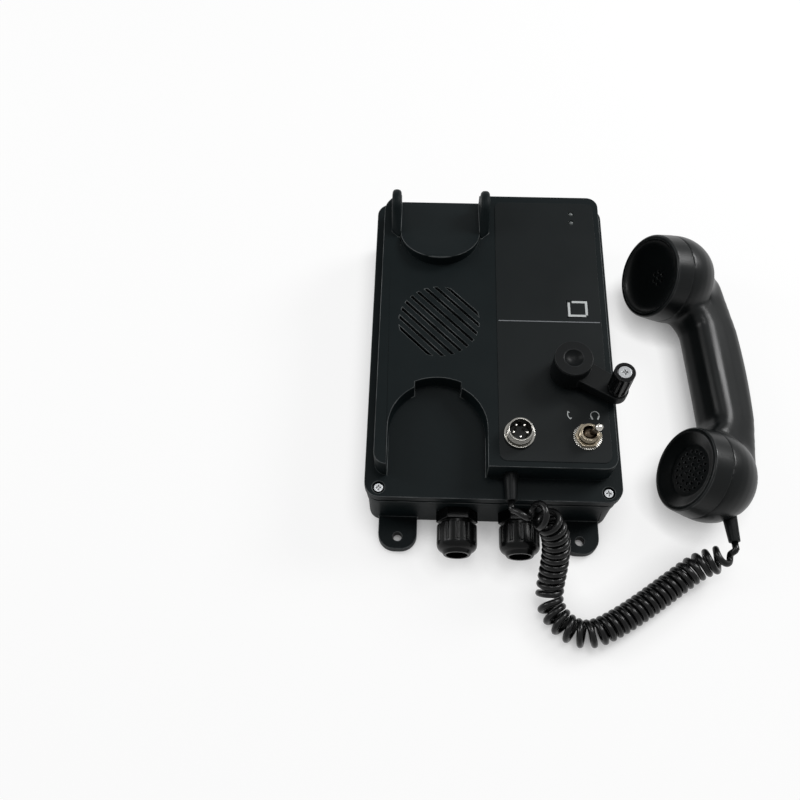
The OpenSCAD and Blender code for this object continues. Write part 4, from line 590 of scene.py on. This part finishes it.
def toothed_washer(name, centre, low, thickness, inner_r, root_r, tip_r, teeth):
    """Flat ring with square teeth around its edge, all sizes in mm."""
    steps_per_tooth = 4
    shape = bmesh.new()
    rings = []
    for radius, height in ((inner_r, low), (root_r, low), (tip_r, low), (tip_r, low + thickness),
                           (root_r, low + thickness), (inner_r, low + thickness)):
        ring = []
        for i in range(steps_per_tooth * teeth):
            turn = 2 * math.pi * i / (steps_per_tooth * teeth)
            in_gap = i % steps_per_tooth >= steps_per_tooth / 2
            reach = root_r if radius == tip_r and in_gap else radius
            ring.append(shape.verts.new((Vector((centre[0] + reach * math.cos(turn),
                                                 centre[1] + reach * math.sin(turn), height))) * MM))
        rings.append(ring)
    for first, second in zip(rings, rings[1:] + rings[:1]):
        for i, start in enumerate(first):
            j = (i + 1) % len(first)
            shape.faces.new((start, first[j], second[j], second[i]))
    bmesh.ops.remove_doubles(shape, verts=shape.verts, dist=WELD)
    bmesh.ops.recalc_face_normals(shape, faces=shape.faces)
    return piece_from(name, shape)


warm_nickel = metal(
    "warm_nickel", colour=(0.46, 0.41, 0.33), second_tone=(0.34, 0.29, 0.21), roughness=0.16, streak=0.4 * MM)
for node in ("toggle_bushing", "toggle_nut"):
    part = rounded_copy(node, node + "_turned", radius=0.3 * MM)
    dress(part, "housing", "nickel", warm_nickel, node)
toggle_centre = (58, -79.8)
bushing_thread = screw_thread(
    "toggle_thread", centre=toggle_centre, radius=5.95, low=72.9, high=76.3, pitch=0.8)
dress(bushing_thread, "housing", "nickel", warm_nickel)
star_washer = toothed_washer(
    "toggle_washer_teeth", centre=toggle_centre, low=panel_top, thickness=0.9,
    inner_r=6.1, root_r=8.6, tip_r=9.2, teeth=40)
dress(star_washer, "housing", "nickel", nickel, "toggle_washer")


def root_shaded_metal(name, end_colour, root_shade, low, high):
    """Plated metal painted darker towards its root as shade, bright and smoother at its end."""
    shade_edge_size = 1.5 * MM
    shade_edge_shift = 1 * MM
    dull_roughness = 0.4
    polish = 0.3
    material, shader, place = start_material(name)
    height = place.node("SeparateXYZ", {}, {"Vector": place}, output="Z")
    lit_smooth_end = place.node("MapRange", {}, {
        "Value": height + (noise(place, shade_edge_size) - NOISE_MEAN) * shade_edge_shift,
        "From Min": low, "From Max": high})
    shader.inputs["Metallic"].default_value = 1
    # Painted shade: the colour goes from the end colour to a dark brown-black towards the lever's root.
    place.plug(shader.inputs["Base Color"], colour_between(lit_smooth_end, root_shade, end_colour))
    place.plug(shader.inputs["Roughness"], dull_roughness - lit_smooth_end * polish)
    return material


lever_metal = root_shaded_metal(
    "lever_metal", end_colour=(0.62, 0.6, 0.56), root_shade=(0.09, 0.07, 0.05), low=80 * MM, high=86 * MM)
lever = rounded_copy("toggle_lever", "toggle_lever_turned", radius=0.2 * MM)
dress(lever, "toggle", "nickel", lever_metal, "toggle_lever")

# Cable glands
# Two nylon cable glands in the lower wall: a hexagon body, a fluted dome nut and a rubber ring each,
# with a locknut inside. The line wires end in a moulded terminal block behind them.

for side in ("left", "right"):
    for part, radius in (("body", 0.4), ("nut", 0.35)):
        node = side + "_gland_" + part
        gland = rounded_copy(node, node + "_moulding", radius * MM)
        dress(gland, "housing", "gloss_black", gloss_plastic, node)
    node = side + "_gland_seal"
    ring = rounded_copy(node, node + "_ring", radius=0.3 * MM)
    dress(ring, "housing", "seal_black", seal_rubber, node)
cream_plastic = moulded_plastic(
    "cream_plastic", colour=(0.56, 0.52, 0.42), second_tone=(0.66, 0.62, 0.52), roughness=0.45,
    grain=0.4 * MM, grain_depth=0.03 * MM, specular=0.4)
show_as(gloss_plastic, "left_gland_locknut", "right_gland_locknut")
show_as(cream_plastic, "terminal_block")
show_as(steel, "terminal_screws")

# Cord boots
# Short tapered strain reliefs in soft black plastic, pushed into the cover's front wall and into
# the handset's lower cup.

housing_boot = rounded_copy("base_cord_boot", "housing_boot", radius=0.5 * MM)
dress(housing_boot, "housing", "gloss_black", satin_plastic, "base_cord_boot")
handset_boot = rounded_copy("handset_cord_boot", "handset_boot", radius=0.5 * MM)
dress(handset_boot, "handset", "gloss_black", satin_plastic, "handset_cord_boot")

# Curly cord
# A glossy black cord that was wound on a rod and heated to set its curls. It drops over the flange
# to the table and comes up to the handset's boot. The points it would stretch between are set out,
# but nothing stretches it.

cord_d = 4.3 * MM
cord_sides = 12
curl_r = 7 * MM
curl_count = 39
rings_per_curl = 8
fine_steps = 3
route_steps = 12
ramp_rings = 8
loose_rings = 16
loose_stretch = 0.35
start_rings = 6
start_stretch = 2
least_inner = 0.5
straight_l = 4.875 * MM
boot_tip = Vector((10.5, -119, 56)) * MM
boot_way = Vector((0, -1, 0))
handset_at = Vector((120.8, -13.2, 41.2)) * MM
handset_yaw = math.radians(3.9)
handset_pitch = math.radians(1.1)
handset_lean = math.radians(26.6 - 90)
handset_frame = (Matrix.Translation(handset_at) @ Matrix.Rotation(handset_yaw, 4, "Z")
                 @ Matrix.Rotation(handset_pitch, 4, "X") @ Matrix.Rotation(handset_lean, 4, "Y"))
tip_in_handset = Vector((0, -121, -32)) * MM
hand_tip = handset_frame @ tip_in_handset
hand_way = (handset_frame.to_3x3() @ Vector((0, -1, 0))).normalized()
route = [boot_tip + straight_l * boot_way]
for point in (
        (14, -126.5, 58.5), (19.5, -128, 60), (26.5, -128.5, 59.5), (32.5, -130.5, 55.5),
        (37, -134.5, 48.5), (39.7, -140, 40), (40.3, -146.5, 31), (39.6, -154, 22.5), (38.6, -162, 15),
        (38.6, -170, 10.6), (41.5, -177.5, 9.3), (46.5, -184, 9.2), (53, -188.3, 9.2), (60, -190, 9.2),
        (67.5, -189, 9.2), (75.5, -185.6, 9.2), (87, -179, 9.2), (96.5, -172.8, 9.2),
        (106.7, -165.7, 9.2), (116.7, -158.5, 9.2), (124.3, -153, 9.3), (131.5, -147.9, 10.5),
        (138.5, -144, 12.5), (145.3, -141.8, 15.5), (151.8, -140.6, 19.2)):
    route.append(Vector(point) * MM)
route.append(hand_tip + straight_l * hand_way)


def spline(a, b, c, d, t):
    """Point between b and c on a smooth line through all four."""
    return 0.5 * (2 * b + (c - a) * t + (2 * a - 5 * b + 4 * c - d) * t * t
                  + (3 * b - 3 * c + d - a) * t * t * t)


def running_total(steps):
    totals = [0]
    for step in steps:
        totals.append(totals[-1] + step)
    return totals


def read_off(value, places, values):
    """Value of a rising table, straight between its entries."""
    i = 0
    while i < len(places) - 2 and places[i + 1] < value:
        i += 1
    share = (value - places[i]) / (places[i + 1] - places[i])
    return values[i] + (values[i + 1] - values[i]) * share


route_ends = [boot_tip, *route, hand_tip]
axis = [spline(*route_ends[k - 1:k + 3], j / route_steps)
        for k in range(1, len(route)) for j in range(route_steps)]
axis.append(route[-1])
axis_s = running_total((b - a).length for a, b in zip(axis, axis[1:]))
axis_way = directions(axis)
axis_side = carried(axis_way)


def bend(i):
    if i in (0, len(axis) - 1):
        return 0
    return (axis_way[i + 1] - axis_way[i - 1]).length / (axis_s[i + 1] - axis_s[i - 1])


inner_s = running_total((axis_s[i] - axis_s[i - 1]) * max(least_inner, 1 - curl_r * bend(i))
                        for i in range(1, len(axis)))
curl_rings = curl_count * rings_per_curl


def from_end(k, rings):
    return max(0, 1 - min(k, curl_rings - k) / rings)


ring_sum = running_total(
    1 + loose_stretch * from_end(k, loose_rings) + start_stretch * from_end(k, start_rings)
    for k in range(curl_rings))
ring_places = list(range(curl_rings + 1))


def curl_point(k):
    s = read_off(inner_s[-1] * read_off(k, ring_places, ring_sum) / ring_sum[-1], inner_s, axis_s)
    way = read_off(s, axis_s, axis_way).normalized()
    side = across(read_off(s, axis_s, axis_side), way)
    t = min(1, min(k, curl_rings - k) / ramp_rings)
    radius = curl_r * t * t * (3 - 2 * t)
    turn = 2 * math.pi * k / rings_per_curl
    other = way.cross(side)
    return read_off(s, axis_s, axis) + radius * (math.cos(turn) * side + math.sin(turn) * other)


cord_line = [boot_tip]
cord_line += [curl_point(i / fine_steps) for i in range(curl_rings * fine_steps + 1)]
cord_line.append(hand_tip)
cord_length = sum((b - a).length for a, b in zip(cord_line, cord_line[1:]))
cord_jacket = moulded_plastic(
    "cord_jacket", colour=(0.003, 0.0031, 0.0033), second_tone=(0.008, 0.0085, 0.009), roughness=0.26,
    grain=0.6 * MM, grain_depth=0.006 * MM, specular=0.3)
cord = tube("curled_cord", cord_line, cord_d / 2, cord_sides)
cord.data.materials.append(cord_jacket)
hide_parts("curly_cord")
stretch_start_x = 45 * MM
stretch_end_gap = 8 * MM
stretch_from = hand_tip.copy()
stretch_from.x = stretch_start_x
stretch_to = hand_tip.copy()
stretch_to.x -= stretch_end_gap
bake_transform(cord)

# Handset
# A satin moulded handle with a cup at each end, blended where they meet, and a screw cap with
# sound holes on each cup.

relax_share = 0.5


def blended_copy(node, name, voxel, passes):
    """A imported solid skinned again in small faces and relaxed, so that its joins flow together."""
    shape = bmesh.new()
    shape.from_mesh(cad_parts[node].data)
    bmesh.ops.remove_doubles(shape, verts=shape.verts, dist=WELD)
    rough = piece_from(name + "_rough", shape)
    rough.modifiers.clear()
    skin = rough.modifiers.new("skin", "REMESH")
    skin.mode = "VOXEL"
    skin.voxel_size = voxel
    relax = rough.modifiers.new("relax", "SMOOTH")
    relax.factor = relax_share
    relax.iterations = passes
    bpy.context.view_layer.update()
    seen = rough.evaluated_get(bpy.context.evaluated_depsgraph_get())
    mesh = bpy.data.meshes.new_from_object(seen)
    mesh.name = name
    for polygon in mesh.polygons:
        polygon.use_smooth = True
    bpy.data.objects.remove(rough)
    piece = bpy.data.objects.new(name, mesh)
    bpy.context.collection.objects.link(piece)
    return piece


from_table = handset_frame.inverted()
grip_root_z = -38 * MM


def soften_roots(piece, reach, passes):
    """Relax the back of the handle beyond that reach, where it grows out of the cups."""
    shape = bmesh.new()
    shape.from_mesh(piece.data)
    points = []
    for point in shape.verts:
        local = from_table @ point.co
        if local.z < grip_root_z and abs(local.y) > reach:
            points.append(point)
    for _ in range(passes):
        bmesh.ops.smooth_vert(
            shape, verts=points, factor=relax_share,
            use_axis_x=True, use_axis_y=True, use_axis_z=True)
    shape.to_mesh(piece.data)
    shape.free()


handset_plastic = moulded_plastic(
    "handset_plastic", colour=(0.0024, 0.0034, 0.0036), second_tone=(0.04, 0.043, 0.044), roughness=0.33,
    grain=0.6 * MM, grain_depth=0.012 * MM, specular=0.22)
handset_shell = blended_copy("handset_shell", "handset_moulding", voxel=0.9 * MM, passes=26)
# Reach from the handle's middle in mm, and passes
root_zones = ((36, 25), (44, 30), (52, 40), (58, 45))
for reach, passes in root_zones:
    soften_roots(handset_shell, reach * MM, passes)
dress(handset_shell, "handset", "gloss_black", handset_plastic, "handset_shell")
for node in ("ear_cap", "mouth_cap"):
    cap = rounded_copy(node, node + "_moulding", radius=0.35 * MM)
    dress(cap, "handset", "gloss_black", handset_plastic, node)
show_as(nickel, "receiver_capsule", "transmitter_capsule")

# Floor, light and camera
# A pale studio table under soft boxes, seen from the photograph's place.

floor_half = 3.0
floor_mesh = bpy.data.meshes.new("floor")
floor_mesh.from_pydata(
    [(-floor_half, -floor_half, 0), (floor_half, -floor_half, 0), (floor_half, floor_half, 0),
     (-floor_half, floor_half, 0)], [], [(0, 1, 2, 3)])
floor = bpy.data.objects.new("floor", floor_mesh)
bpy.context.collection.objects.link(floor)
floor_white = 0.92
floor_roughness = 0.9
floor_lift = 0.85
floor_reach = 20 * MM
floor_paint, floor_shader, floor_place = start_material("floor_paint")
floor_shader.inputs["Base Color"].default_value = (floor_white, floor_white, floor_white, 1)
floor_shader.inputs["Roughness"].default_value = floor_roughness
floor_shader.inputs["Specular IOR Level"].default_value = 0


def shown_behind(place):
    """1 where a ray sees the surface straight, in a gloss or through a lens, else 0."""
    return (place.node("LightPath", {}, {}, output="Is Camera Ray")
            + place.node("LightPath", {}, {}, output="Is Glossy Ray")
            + place.node("LightPath", {}, {}, output="Is Transmission Ray"))


floor_tree = floor_paint.node_tree
floor_glow = floor_place.node("Emission", {}, {"Color": (1, 1, 1, 1), "Strength": 1})
# Painted contact shadow: ambient occlusion cuts the floor's glow where the object hems it in, darkening
# it under and beside the parts.
open_sky = floor_place.node(
    "AmbientOcclusion", {"samples": SHADE_SAMPLES}, {"Distance": floor_reach}, output="AO")
floor_mix = floor_place.node("MixShader", {}, {
    0: shown_behind(floor_place) * open_sky * floor_lift,
    1: Wire(floor_tree, floor_shader.outputs[0]),
    2: floor_glow})
floor_place.plug(floor_tree.nodes["Material Output"].inputs["Surface"], floor_mix)
floor.data.materials.append(floor_paint)


def soft_box(name, at, towards, width, height, power):
    lamp = bpy.data.lights.new(name, "AREA")
    lamp.shape = "RECTANGLE"
    lamp.size = width
    lamp.size_y = height
    lamp.energy = power
    box = bpy.data.objects.new(name, lamp)
    box.location = at
    box.rotation_euler = (Vector(towards) - Vector(at)).to_track_quat("-Z", "Y").to_euler()
    bpy.context.collection.objects.link(box)


soft_box("back_right_box", at=(0.95, 0.6, 0.95), towards=(0.03, 0, 0.03),
         width=0.5, height=0.5, power=14)
soft_box("left_box", at=(-1.15, 0.25, 0.75), towards=(0, 0, 0.03),
         width=0.3, height=0.9, power=6)
soft_box("overhead_box", at=(0.1, 0.15, 1.5), towards=(0.03, 0, 0.03),
         width=0.5, height=0.3, power=4)
world_strength = 0.22
backdrop = 0.6
world = bpy.data.worlds.new("studio")
world.use_nodes = True
world_shader = world.node_tree.nodes["Background"]
world_place = Wire(world.node_tree, world_shader.inputs["Color"])
world_shader.inputs["Color"].default_value = (1, 1, 1, 1)
world_place.plug(world_shader.inputs["Strength"],
                 world_strength + (backdrop - world_strength) * shown_behind(world_place))
bpy.context.scene.world = world
bpy.context.scene.view_settings.view_transform = "Standard"

camera_at = Vector((-49.245, -306.646, 578.472)) * MM
camera_down = math.radians(63.863)
camera_turn = math.radians(-2.683)
camera_roll = math.radians(-1.020)
focal_px = 881.488
frame_px = 800
sensor_mm = 36
near_clip = 0.01
ahead = Vector((math.sin(camera_turn) * math.cos(camera_down),
                math.cos(camera_turn) * math.cos(camera_down), -math.sin(camera_down)))
level = Vector((math.cos(camera_turn), -math.sin(camera_turn), 0))
upward = level.cross(ahead)
right = level * math.cos(camera_roll) + upward * math.sin(camera_roll)
up = upward * math.cos(camera_roll) - level * math.sin(camera_roll)
lens = bpy.data.cameras.new("camera")
lens.sensor_width = sensor_mm
lens.lens = focal_px * sensor_mm / frame_px
lens.clip_start = near_clip
camera = bpy.data.objects.new("camera", lens)
camera.matrix_world = Matrix((
    (right.x, up.x, -ahead.x, camera_at.x),
    (right.y, up.y, -ahead.y, camera_at.y),
    (right.z, up.z, -ahead.z, camera_at.z),
    (0, 0, 0, 1)))
bpy.context.collection.objects.link(camera)
bpy.context.scene.camera = camera
